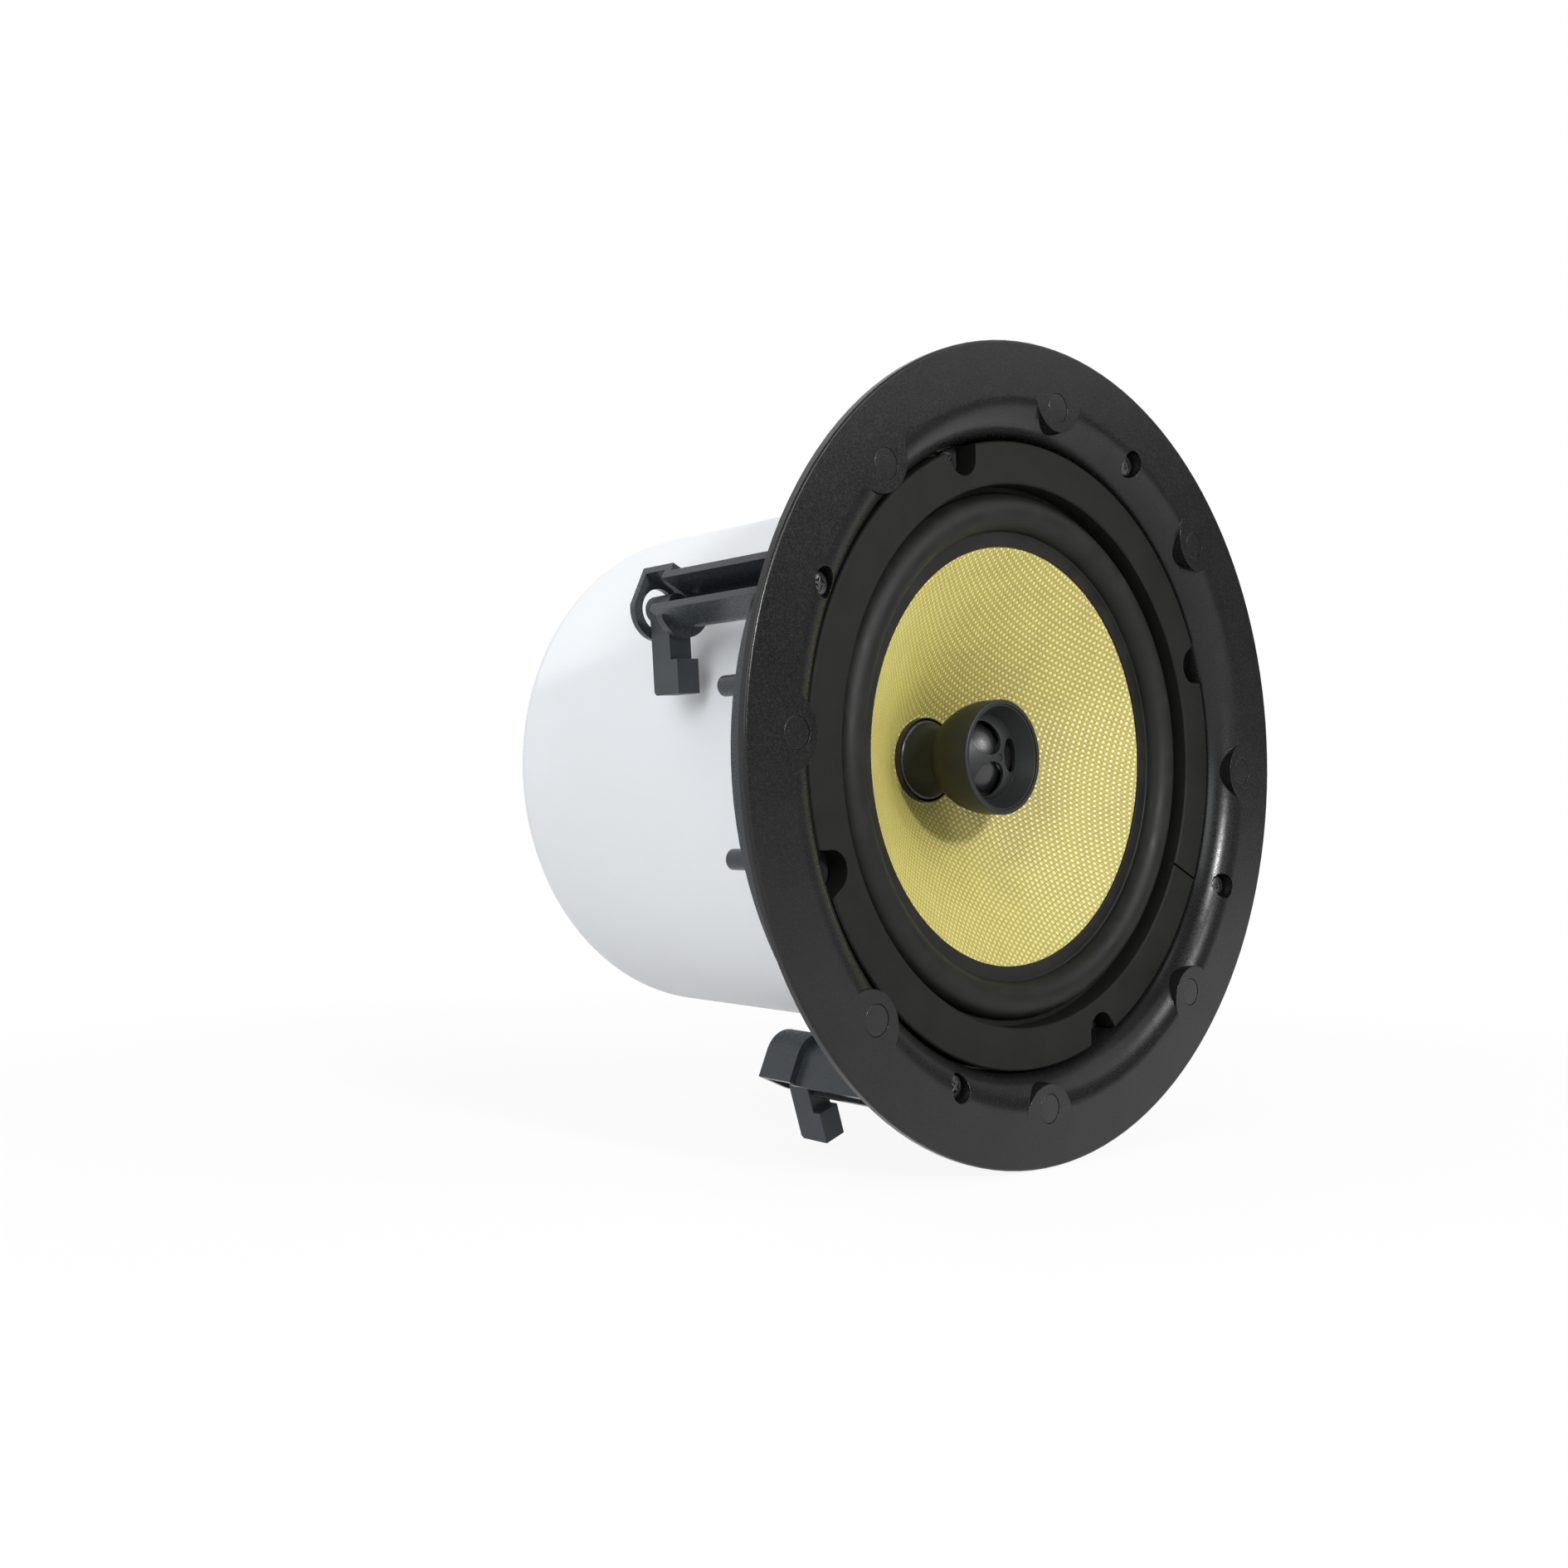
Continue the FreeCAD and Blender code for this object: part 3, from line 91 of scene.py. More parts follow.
class Section:
    """A wire outline of radius and depth that is turned round the axis."""

    def __init__(self, radius: float, depth: float, rounding: float = 0.0) -> None:
        """Start the outline.

        Args:
            radius: radius of the first point.
            depth: depth of the first point.
            rounding: how much of its corner is rounded off.
        """
        self.bm = bmesh.new()
        self.first = self.bm.verts.new(metres(radius, depth))
        self.last = self.first
        self.roundings: list[tuple[bmesh.types.BMVert, float]] = []
        self.rounded(rounding)

    def rounded(self, rounding: float) -> "Section":
        """Round off the outline at its last point."""
        if rounding > 0.0:
            self.roundings.append((self.last, rounding))
        return self

    def to(self, radius: float, depth: float, rounding: float = 0.0) -> "Section":
        """Go on in a straight line.

        Args:
            radius: radius of the next point.
            depth: depth of the next point.
            rounding: how much of its corner is rounded off.

        Returns:
            The section itself.
        """
        vert = self.bm.verts.new(metres(radius, depth))
        self.bm.edges.new((self.last, vert))
        self.last = vert
        return self.rounded(rounding)

    def swing(self, radius: float, depth: float, degrees: float, steps: int) -> "Section":
        """Go on along an arc.

        Args:
            radius: radius of the arc's centre.
            depth: depth of the arc's centre.
            degrees: how far the arc turns, from radius towards depth.
            steps: number of straight pieces.

        Returns:
            The section itself.
        """
        made = bmesh.ops.spin(
            self.bm, geom=[self.last], cent=metres(radius, depth), axis=(0.0, 0.0, 1.0),
            angle=math.radians(degrees), steps=steps, use_merge=False,
        )
        self.last = made["geom_last"][0]
        return self

    def turned(self, steps: int, closed: bool = True, segments: int = 4) -> Mesh:
        """Round the corners and turn the outline into a solid.

        Args:
            steps: number of facets round the axis.
            closed: whether the outline ends where it began.
            segments: facets of each rounded corner.

        Returns:
            The solid's mesh.
        """
        if closed:
            self.bm.edges.new((self.last, self.first))
        for vert, rounding in self.roundings:
            bmesh.ops.bevel(
                self.bm, geom=[vert], offset=rounding * MM, affect="VERTICES",
                segments=segments, profile=0.5, material=-1,
            )
        bmesh.ops.spin(
            self.bm, geom=self.bm.verts[:] + self.bm.edges[:], cent=(0.0, 0.0, 0.0), axis=AXIS,
            angle=math.tau, steps=steps, use_merge=True,
        )
        bmesh.ops.remove_doubles(self.bm, verts=self.bm.verts, dist=MERGE)
        bmesh.ops.recalc_face_normals(self.bm, faces=self.bm.faces)
        return self.bm


def cad_copy(node: str, softening: float) -> Mesh:
    """Copy a CAD node's mesh and break its sharp edges.

    Args:
        node: name of the CAD node.
        softening: width of the broken edge in millimetres.

    Returns:
        The softened mesh.
    """
    bm = bmesh.new()
    bm.from_mesh(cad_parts[node].data)
    bmesh.ops.remove_doubles(bm, verts=bm.verts, dist=MERGE)
    bmesh.ops.dissolve_limit(
        bm, angle_limit=FLAT_LIMIT, verts=bm.verts, edges=bm.edges, use_dissolve_boundaries=False,
    )
    sharp = [e for e in bm.edges if e.is_manifold and e.calc_face_angle(0.0) > SHARP_LIMIT]
    bmesh.ops.bevel(
        bm, geom=sharp, offset=softening * MM, offset_type="OFFSET", affect="EDGES",
        segments=EDGE_SEGMENTS, profile=0.5, material=-1, clamp_overlap=False,
    )
    return bm


def joined(parts: Iterable[Mesh]) -> Mesh:
    """Put several meshes together in one.

    Args:
        parts: the meshes, which are freed.

    Returns:
        One mesh with all of them.
    """
    whole = bmesh.new()
    for part in parts:
        carrier = bpy.data.meshes.new("carrier")
        part.to_mesh(carrier)
        part.free()
        whole.from_mesh(carrier)
        bpy.data.meshes.remove(carrier)
    return whole


def piece(name: str, bm: Mesh, finish: Material) -> bpy.types.Object:
    """Make an object of a mesh, smooth and dressed.

    Args:
        name: name of the piece.
        bm: its mesh, which is freed.
        finish: its material.

    Returns:
        The object, at the origin.
    """
    mesh = bpy.data.meshes.new(name)
    for edge in bm.edges:
        edge.smooth = edge.calc_face_angle(0.0) < CREASE_LIMIT
    for face in bm.faces:
        face.smooth = True
    bm.to_mesh(mesh)
    bm.free()
    mesh.materials.append(finish)
    obj = bpy.data.objects.new(name, mesh)
    bpy.context.scene.collection.objects.link(obj)
    even = obj.modifiers.new("even_normals", "WEIGHTED_NORMAL")
    even.mode = "FACE_AREA"
    even.weight = 100
    even.keep_sharp = True
    LOG.info("%s: %d faces", name, len(mesh.polygons))
    return obj


def seat(obj: bpy.types.Object, body: str, slot: str, *nodes: str) -> bpy.types.Object:
    """Let a piece ride on a body in the place of its CAD nodes.

    Args:
        obj: the piece.
        body: name of the CAD body.
        slot: the record's material slot; not used.
        nodes: CAD nodes that the piece stands for.

    Returns:
        The piece.
    """
    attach(obj, body)
    if nodes:
        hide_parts(*nodes)
    return obj


def dress(node: str, finish: Material) -> None:
    """Give a CAD node that stays its finish.

    Args:
        node: name of the CAD node.
        finish: the material.
    """
    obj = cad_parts[node]
    if not obj.material_slots:
        obj.data.materials.append(finish)
    for slot in obj.material_slots:
        slot.material = finish
    LOG.info("%s: dressed", node)


class NodeTree:
    """Adds and links the nodes of one shader tree."""

    def __init__(self, tree: bpy.types.NodeTree) -> None:
        """Start with an empty tree."""
        self.tree = tree
        self.tree.nodes.clear()

    def add(self, kind: str, **values: Feed) -> bpy.types.Node:
        """Add a node of a kind and feed its sockets.

        Args:
            kind: the node's type.
            values: what each socket gets, by name with _ for a space.

        Returns:
            The node.
        """
        node = self.tree.nodes.new(kind)
        self.fill(node, **values)
        return node

    def fill(self, node: bpy.types.Node, **values: Feed) -> None:
        """Feed a node's sockets by name, with _ for a space."""
        for name, value in values.items():
            self.feed(node.inputs[name.replace("_", " ")], value)

    def link(self, source: Socket, target: Socket) -> None:
        """Link two sockets."""
        self.tree.links.new(source, target)

    def feed(self, target: Socket, source: Feed) -> None:
        """Link a socket to another, or set its value."""
        if isinstance(source, Socket):
            self.link(source, target)
        else:
            target.default_value = source

    def maths(self, operation: str, *values: Feed) -> Socket:
        """Work out a number.

        Args:
            operation: the Math node's operation.
            values: its inputs.

        Returns:
            The result's socket.
        """
        node = self.add("ShaderNodeMath")
        node.operation = operation
        for target, value in zip(node.inputs, values):
            self.feed(target, value)
        return node.outputs[0]

    def split(self, vector: Socket) -> tuple[Socket, Socket, Socket]:
        """The three parts of a vector."""
        node = self.add("ShaderNodeSeparateXYZ")
        self.link(vector, node.inputs[0])
        return node.outputs[0], node.outputs[1], node.outputs[2]

    def spread(self, value: Socket, low: float, high: float, start: float, end: float) -> Socket:
        """Map a number's range from low to high to the one from start to end, clamped."""
        limits = {"From_Min": low, "From_Max": high, "To_Min": start, "To_Max": end}
        return self.add("ShaderNodeMapRange", Value=value, **limits).outputs["Result"]

    def reach(self, first: Socket, second: Socket) -> Socket:
        """Length of two parts of a vector, in millimetres."""
        squares = [self.maths("MULTIPLY", part, part) for part in (first, second)]
        return self.maths("MULTIPLY", self.maths("SQRT", self.maths("ADD", *squares)), 1.0 / MM)


class NodeBench(NodeTree):
    """Adds and links the nodes of one material with a principled surface."""

    def __init__(self, name: str) -> None:
        """Start a material.

        Args:
            name: name of the material.
        """
        self.material = bpy.data.materials.new(name)
        self.material.use_nodes = True
        super().__init__(self.material.node_tree)
        self.surface = self.add("ShaderNodeBsdfPrincipled")
        self.output = self.add("ShaderNodeOutputMaterial", Surface=self.surface.outputs["BSDF"])
        self.place = self.add("ShaderNodeTexCoord").outputs["Object"]

    def mapped(self, turn: float = 0.0, scale: Triple = (1.0, 1.0, 1.0)) -> Socket:
        """Object coordinates scaled and turned about Y by degrees."""
        about = (0.0, math.radians(turn), 0.0)
        return self.add("ShaderNodeMapping", Vector=self.place, Rotation=about, Scale=scale).outputs["Vector"]

    def noise(self, feature: float, detail: float = 2.0, vector: Optional[Socket] = None) -> Socket:
        """Cloudy noise from 0 to 1, with features of a size in millimetres and finer layers."""
        scale = 1.0 / (feature * MM)
        place = vector or self.place
        return self.add("ShaderNodeTexNoise", Vector=place, Scale=scale, Detail=detail).outputs["Fac"]

    def pits(self, feature: float) -> Socket:
        """Distance to the nearest of points scattered some millimetres apart."""
        scale = 1.0 / (feature * MM)
        return self.add("ShaderNodeTexVoronoi", Vector=self.place, Scale=scale).outputs["Distance"]

    def share(self, value: Socket, band: Sequence[float], most: float = 1.0) -> Socket:
        """A share that grows from 0 to its most over a band of a number."""
        return self.spread(value, band[0], band[1], 0.0, most)

    def varied(self, noise: Socket, middle: float, span: Span) -> Socket:
        """A number that a noise moves about its middle by a span."""
        return self.spread(noise, *NOISE_BAND, middle + span[0], middle + span[1])

    def tint(self, share: Feed, first: Union[Socket, Colour], second: Union[Socket, Colour],
             blend: str = "MIX") -> Socket:
        """Mix two colours.

        Args:
            share: how much of the second, from 0 to 1.
            first: colour at 0.
            second: colour at 1, or a number as a grey.
            blend: the Mix node's way of mixing.

        Returns:
            The colour's socket.
        """
        node = self.add("ShaderNodeMix")
        node.data_type = "RGBA"
        node.blend_type = blend
        self.feed(node.inputs[0], share)
        for target, colour in ((node.inputs[6], first), (node.inputs[7], second)):
            self.feed(target, (*colour, 1.0) if isinstance(colour, tuple) else colour)
        return node.outputs[2]

    def relief(self, height: Socket, distance: float, strength: float = 1.0,
               under: Optional[Socket] = None) -> Socket:
        """Bump from a height.

        Args:
            height: the height, from 0 to 1.
            distance: how high 1 stands, in millimetres.
            strength: share of the effect.
            under: a coarser relief below it.

        Returns:
            The normal's socket.
        """
        node = self.add("ShaderNodeBump", Height=height, Distance=distance * MM, Strength=strength)
        if under is not None:
            self.link(under, node.inputs["Normal"])
        return node.outputs["Normal"]

    def rubbed(self, most: float) -> Socket:
        """Share of wear on raised edges, up to its most."""
        return self.share(self.add("ShaderNodeNewGeometry").outputs["Pointiness"], WEAR_BAND, most)

    def radius(self) -> Socket:
        """Distance from the speaker's axis, in millimetres."""
        x, _, z = self.split(self.place)
        return self.reach(x, z)

    def set(self, **values: Feed) -> Material:
        """Feed the surface's sockets by name and give the finished material."""
        self.fill(self.surface, **values)
        return self.material


@dataclass(frozen=True)
class MouldedPlastic:
    """Black moulded plastic with a fine spark grain and rubbed edges; an optional rear colour paints
    reflected light on the parts behind the flange.
    """

    name: str
    colour: Colour
    rubbed: Colour
    roughness: float
    gloss: float = 0.3
    grain: float = 0.55
    grain_depth: float = 0.02
    wear: float = 0.35
    # Lighter colour painted on parts deeper than the band: painted reflection of the lamps and the white can.
    rear_painted_light: Optional[Colour] = None
    rear_painted_light_band: Span = (12.0 * MM, 20.0 * MM)
    shade: float = 0.78
    cloud: float = 14.0
    cloud_band: Span = (0.35, 0.65)
    speck_band: Span = (0.55, 0.75)
    speck_share: float = 0.35
    pit_pitch: float = 2.2
    pit_share: float = 0.5
    span: Span = (-0.06, 0.08)

    def material(self) -> Material:
        """Build the material's nodes."""
        bench = NodeBench(self.name)
        cloud = bench.noise(self.cloud, detail=3.0)
        speck = bench.noise(self.grain)
        darker = tuple(self.shade * c for c in self.colour)
        tone = bench.tint(bench.share(cloud, self.cloud_band), darker, self.colour)
        # Painted reflection: parts behind the flange take the lighter rear colour.
        if self.rear_painted_light is not None:
            _, depth, _ = bench.split(bench.place)
            tone = bench.tint(bench.share(depth, self.rear_painted_light_band), tone, self.rear_painted_light)
        tone = bench.tint(bench.share(speck, self.speck_band, self.speck_share), tone, self.rubbed)
        if self.wear > 0.0:
            tone = bench.tint(bench.rubbed(self.wear), tone, self.rubbed)
        rough = bench.varied(speck, self.roughness, self.span)
        pits = bench.maths("MULTIPLY", bench.pits(self.pit_pitch * self.grain), self.pit_share)
        bump = bench.relief(bench.maths("ADD", speck, pits), self.grain_depth)
        return bench.set(Base_Color=tone, Roughness=rough, Specular_IOR_Level=self.gloss, Normal=bump)


@dataclass(frozen=True)
class Rubber:
    """Soft black rubber with a dusty bloom."""

    name: str
    colour: Colour
    bloom: Colour
    roughness: float
    gloss: float
    dust: float = 9.0
    dust_band: Span = (0.45, 0.75)
    dust_share: float = 0.5
    grain: float = 0.35
    grain_depth: float = 0.012
    span: Span = (-0.06, 0.1)

    def material(self) -> Material:
        """Build the material's nodes."""
        bench = NodeBench(self.name)
        dust = bench.noise(self.dust, detail=5.0)
        tone = bench.tint(bench.share(dust, self.dust_band, self.dust_share), self.colour, self.bloom)
        rough = bench.varied(dust, self.roughness, self.span)
        bump = bench.relief(bench.noise(self.grain), self.grain_depth)
        return bench.set(Base_Color=tone, Roughness=rough, Specular_IOR_Level=self.gloss, Normal=bump)


@dataclass(frozen=True)
class WovenCloth:
    """Plain-woven stiffened cloth: two sets of yarns that cross over and under, with painted shade in the
    hollows and painted glints on the crowns.
    """

    name: str
    hollow_shade: Colour
    yarn: Colour
    crown: Colour
    pitch: float
    weft_pitch: float
    turn: float
    lift: float
    roughness: float
    weft_roughness: float
    gloss: float
    weft_glint_share: float = 0.4
    weft_lift: float = 0.55
    centre_r: float = 0.0
    rim_r: float = 1.0
    centre: Colour = WHITE
    sheen: float = 0.0
    sheen_tint: Colour = (1.0, 0.93, 0.25)
    flank: float = 1.96
    arch: Span = (0.65, 0.35)
    yarn_band: Span = (0.05, 0.6)
    crown_glint_band: Span = (0.42, 0.72)
    cloud: float = 11.0
    cloud_span: Span = (-0.08, 0.04)
    fibre: float = 0.25
    fibre_depth: float = 0.02
    fibre_strength: float = 0.5
    span: Span = (-0.05, 0.07)

    def weave(self, bench: NodeBench) -> tuple[Socket, Socket, Socket]:
        """Work out the yarns' relief.

        Args:
            bench: the material's bench.

        Returns:
            Height of the cloth, share of crown and which yarn set is on top.
        """
        step = 1.0 / (self.pitch * MM)
        warp, _, weft = bench.split(bench.mapped(self.turn, (step, step, step)))
        weft = bench.maths("MULTIPLY", weft, self.pitch / self.weft_pitch)
        row = bench.maths("FLOOR", warp)
        column = bench.maths("FLOOR", weft)
        side = bench.maths("PINGPONG", bench.maths("ADD", row, column), 1.0)
        in_row = bench.maths("SUBTRACT", bench.maths("SUBTRACT", warp, row), 0.5)
        in_column = bench.maths("SUBTRACT", bench.maths("SUBTRACT", weft, column), 0.5)
        gap = bench.maths("SUBTRACT", in_column, in_row)
        across = bench.maths("MULTIPLY_ADD", gap, side, in_row)
        along = bench.maths("SUBTRACT", bench.maths("ADD", in_row, in_column), across)
        flank = bench.maths("MULTIPLY", across, self.flank)
        body = bench.maths("SUBTRACT", 1.0, bench.maths("MULTIPLY", flank, flank))
        body = bench.maths("SQRT", bench.maths("MAXIMUM", body, 0.0))
        arch = bench.maths("COSINE", bench.maths("MULTIPLY", along, math.pi))
        height = bench.maths("MULTIPLY", body, bench.maths("MULTIPLY_ADD", arch, *self.arch))
        height = bench.maths("MULTIPLY", height, bench.spread(side, 0.0, 1.0, 1.0, self.weft_lift))
        return height, bench.maths("MULTIPLY", body, arch), side

    def material(self) -> Material:
        """Build the material's nodes."""
        bench = NodeBench(self.name)
        height, crown, side = self.weave(bench)
        fibre = bench.noise(self.fibre)
        # Painted shade: the weave's low parts take the darker hollow colour.
        tone = bench.tint(bench.share(height, self.yarn_band), self.hollow_shade, self.yarn)
        # Painted glints: the crowns of the top yarns are made paler, and the weft gets only its share of
        # them.
        share = bench.share(crown, self.crown_glint_band)
        share = bench.maths("MULTIPLY", share, bench.spread(side, 0.0, 1.0, 1.0, self.weft_glint_share))
        tone = bench.tint(share, tone, self.crown)
        outwards = bench.share(bench.radius(), (self.centre_r, self.rim_r))
        tone = bench.tint(1.0, tone, bench.tint(outwards, self.centre, WHITE), "MULTIPLY")
        patch = bench.varied(bench.noise(self.cloud, detail=3.0), 1.0, self.cloud_span)
        tone = bench.tint(1.0, tone, patch, "MULTIPLY")
        rough = bench.spread(side, 0.0, 1.0, self.roughness, self.weft_roughness)
        rough = bench.maths("ADD", rough, bench.varied(fibre, 0.0, self.span))
        bump = bench.relief(height, self.lift)
        bump = bench.relief(fibre, self.fibre_depth, self.fibre_strength, bump)
        return bench.set(Base_Color=tone, Roughness=rough, Specular_IOR_Level=self.gloss,
                         Sheen_Weight=self.sheen, Sheen_Tint=(*self.sheen_tint, 1.0), Normal=bump)


@dataclass(frozen=True)
class Enamel:
    """Baked enamel paint with a slight orange peel."""

    name: str
    colour: Colour
    shade: Colour
    roughness: float
    gloss: float = 0.4
    cloud: float = 60.0
    peel: float = 2.4
    peel_depth: float = 0.012
    dust: float = 0.8
    dust_band: Span = (0.62, 0.75)
    dust_share: float = 0.2
    span: Span = (-0.04, 0.06)

    def material(self) -> Material:
        """Build the material's nodes."""
        bench = NodeBench(self.name)
        cloud = bench.noise(self.cloud, detail=3.0)
        dust = bench.noise(self.dust, detail=3.0)
        tone = bench.tint(bench.share(cloud, NOISE_BAND), self.shade, self.colour)
        tone = bench.tint(bench.share(dust, self.dust_band, self.dust_share), tone, self.shade)
        rough = bench.varied(cloud, self.roughness, self.span)
        bump = bench.relief(bench.noise(self.peel), self.peel_depth)
        return bench.set(Base_Color=tone, Roughness=rough, Specular_IOR_Level=self.gloss, Normal=bump)


@dataclass(frozen=True)
class TurnedMetal:
    """Metal with fine turning lines and slight tarnish."""

    name: str
    colour: Colour
    tarnish: Colour
    roughness: float
    metal: float = 1.0
    gloss: float = 0.5
    line: float = 1.4
    line_depth: float = 0.01
    stretch: Triple = (1.0, 14.0, 1.0)
    stain: float = 7.0
    stain_band: Span = (0.45, 0.75)
    stain_share: float = 0.7
    wear: float = 0.5
    span: Span = (-0.08, 0.1)

    def material(self) -> Material:
        """Build the material's nodes."""
        bench = NodeBench(self.name)
        stain = bench.noise(self.stain, detail=4.0)
        lines = bench.noise(self.line, vector=bench.mapped(scale=self.stretch))
        tone = bench.tint(bench.share(stain, self.stain_band, self.stain_share), self.colour, self.tarnish)
        tone = bench.tint(bench.rubbed(self.wear), tone, self.colour)
        rough = bench.varied(lines, self.roughness, self.span)
        bump = bench.relief(lines, self.line_depth)
        return bench.set(Base_Color=tone, Roughness=rough, Metallic=self.metal,
                         Specular_IOR_Level=self.gloss, Normal=bump)


@dataclass(frozen=True)
class Ceramic:
    """Pressed ceramic or board with pits and specks."""

    name: str
    colour: Colour
    speck: Colour
    roughness: float
    pit: float = 1.1
    pit_depth: float = 0.04
    pit_strength: float = 0.6
    cloud: float = 5.0
    cloud_band: Span = (0.4, 0.7)
    cloud_share: float = 0.6
    wear: float = 0.5
    span: Span = (-0.08, 0.08)

    def material(self) -> Material:
        """Build the material's nodes."""
        bench = NodeBench(self.name)
        cloud = bench.noise(self.cloud, detail=4.0)
        tone = bench.tint(bench.share(cloud, self.cloud_band, self.cloud_share), self.colour, self.speck)
        tone = bench.tint(bench.rubbed(self.wear), tone, self.speck)
        rough = bench.varied(cloud, self.roughness, self.span)
        bump = bench.relief(bench.pits(self.pit), self.pit_depth, self.pit_strength)
        return bench.set(Base_Color=tone, Roughness=rough, Normal=bump)


@dataclass(frozen=True)
class WireWinding:
    """Lacquered copper wire wound in close turns, with painted shade in the grooves between them."""

    name: str
    colour: Colour
    shade: Colour
    roughness: float = 0.24
    metal: float = 0.9
    pitch: float = 0.4
    wire_depth: float = 0.12
    groove_shade_band: Span = (0.1, 0.7)
    stain: float = 3.0
    stain_band: Span = (0.5, 0.8)
    stain_share: float = 0.5
    span: Span = (0.0, 0.16)

    def material(self) -> Material:
        """Build the material's nodes."""
        bench = NodeBench(self.name)
        _, along, _ = bench.split(bench.mapped(scale=(1.0, 1.0 / (self.pitch * MM), 1.0)))
        inside = bench.maths("SUBTRACT", bench.maths("FRACT", along), 0.5)
        wire = bench.maths("COSINE", bench.maths("MULTIPLY", inside, math.pi))
        stain = bench.noise(self.stain, detail=3.0)
        # Painted shade: the grooves between turns take the dark shade colour, which also tints the stains.
        tone = bench.tint(bench.share(wire, self.groove_shade_band), self.shade, self.colour)
        tone = bench.tint(bench.share(stain, self.stain_band, self.stain_share), tone, self.shade)
        rough = bench.varied(stain, self.roughness, self.span)
        bump = bench.relief(wire, self.wire_depth)
        return bench.set(Base_Color=tone, Roughness=rough, Metallic=self.metal, Normal=bump)


@dataclass(frozen=True)
class Palette:
    """All finishes of the speaker."""

    # The bezel's rear colour paints reflected light on the collar, ribs and towers.
    bezel: MouldedPlastic = MouldedPlastic(
        "bezel_plastic", (0.0066, 0.0070, 0.0066), (0.021, 0.022, 0.020), roughness=0.27, gloss=0.34,
        grain_depth=0.008, wear=0.2, rear_painted_light=(0.036, 0.0415, 0.048))
    ring: MouldedPlastic = MouldedPlastic(
        "ring_plastic", (0.0082, 0.0086, 0.0074), (0.022, 0.023, 0.020), roughness=0.58, gloss=0.17,
        grain=0.4)
    pod: MouldedPlastic = MouldedPlastic(
        "pod_plastic", (0.0135, 0.0158, 0.0140), (0.028, 0.031, 0.031), roughness=0.46, gloss=0.36,
        grain=0.35, grain_depth=0.006, wear=0.15)
    base: MouldedPlastic = MouldedPlastic(
        "base_plastic", (0.020, 0.021, 0.017), (0.03, 0.03, 0.03), roughness=0.24, gloss=0.45,
        grain=0.8, grain_depth=0.0, wear=0.0)
    # The clamp plastic's bluish grey, lighter than the bezel's black, is painted reflected light.
    clamp: MouldedPlastic = MouldedPlastic(
        "clamp_plastic", (0.034, 0.0405, 0.047), (0.07, 0.078, 0.085), roughness=0.5, gloss=0.5)
    surround: Rubber = Rubber(
        "surround_rubber", (0.0075, 0.0080, 0.0070), (0.016, 0.017, 0.015), roughness=0.50, gloss=0.22)
    seal: Rubber = Rubber(
        "seal_rubber", (0.012, 0.012, 0.012), (0.035, 0.035, 0.034), roughness=0.7, gloss=0.3)
    # The cloths' hollow and crown colours paint shade between the yarns and glints on their crowns.
    cone: WovenCloth = WovenCloth(
        "cone_cloth", (0.28, 0.232, 0.036), (0.41, 0.348, 0.076), (0.63, 0.578, 0.28),
        pitch=1.15, weft_pitch=1.5, turn=30.0, lift=0.26, roughness=0.28, weft_roughness=0.55, gloss=0.7,
        weft_glint_share=0.0, weft_lift=0.5, centre_r=16.0, rim_r=60.0, centre=(0.84, 0.84, 0.78), sheen=0.3)
    spider: WovenCloth = WovenCloth(
        "spider_cloth", (0.22, 0.12, 0.03), (0.42, 0.26, 0.08), (0.55, 0.38, 0.16),
        pitch=0.8, weft_pitch=0.8, turn=0.0, lift=0.12, roughness=0.7, weft_roughness=0.75, gloss=0.3)
    dome: MouldedPlastic = MouldedPlastic(
        "dome_cloth", (0.008, 0.008, 0.009), (0.02, 0.02, 0.021), roughness=0.3, gloss=0.75,
        grain=0.5, grain_depth=0.001, wear=0.0)
    former: TurnedMetal = TurnedMetal(
        "former_metal", (0.03, 0.028, 0.024), (0.02, 0.018, 0.015), roughness=0.5, metal=0.3)
    winding: WireWinding = WireWinding("winding", (0.72, 0.30, 0.12), (0.25, 0.09, 0.03))
    basket: Enamel = Enamel("basket_paint", (0.02, 0.02, 0.021), (0.013, 0.013, 0.014), roughness=0.45)
    plated: TurnedMetal = TurnedMetal("plated_steel", (0.72, 0.70, 0.62), (0.50, 0.46, 0.36), roughness=0.3)
    black_steel: TurnedMetal = TurnedMetal(
        "black_steel", (0.085, 0.085, 0.088), (0.04, 0.04, 0.042), roughness=0.36, metal=0.85)
    magnet: MouldedPlastic = MouldedPlastic(
        "magnet_metal", (0.0068, 0.0072, 0.0068), (0.02, 0.02, 0.02), roughness=0.27, gloss=0.40,
        grain_depth=0.008, wear=0.0)
    ferrite: Ceramic = Ceramic("ferrite", (0.045, 0.045, 0.047), (0.09, 0.09, 0.09), roughness=0.75)
    can: Enamel = Enamel("can_paint", (0.80, 0.815, 0.835), (0.775, 0.79, 0.81), roughness=0.38)
    board: Ceramic = Ceramic("board_resin", (0.05, 0.16, 0.06), (0.08, 0.22, 0.09), roughness=0.45, pit=2.0)
    parts: MouldedPlastic = MouldedPlastic(
        "part_plastic", (0.03, 0.05, 0.09), (0.08, 0.10, 0.14), roughness=0.4)


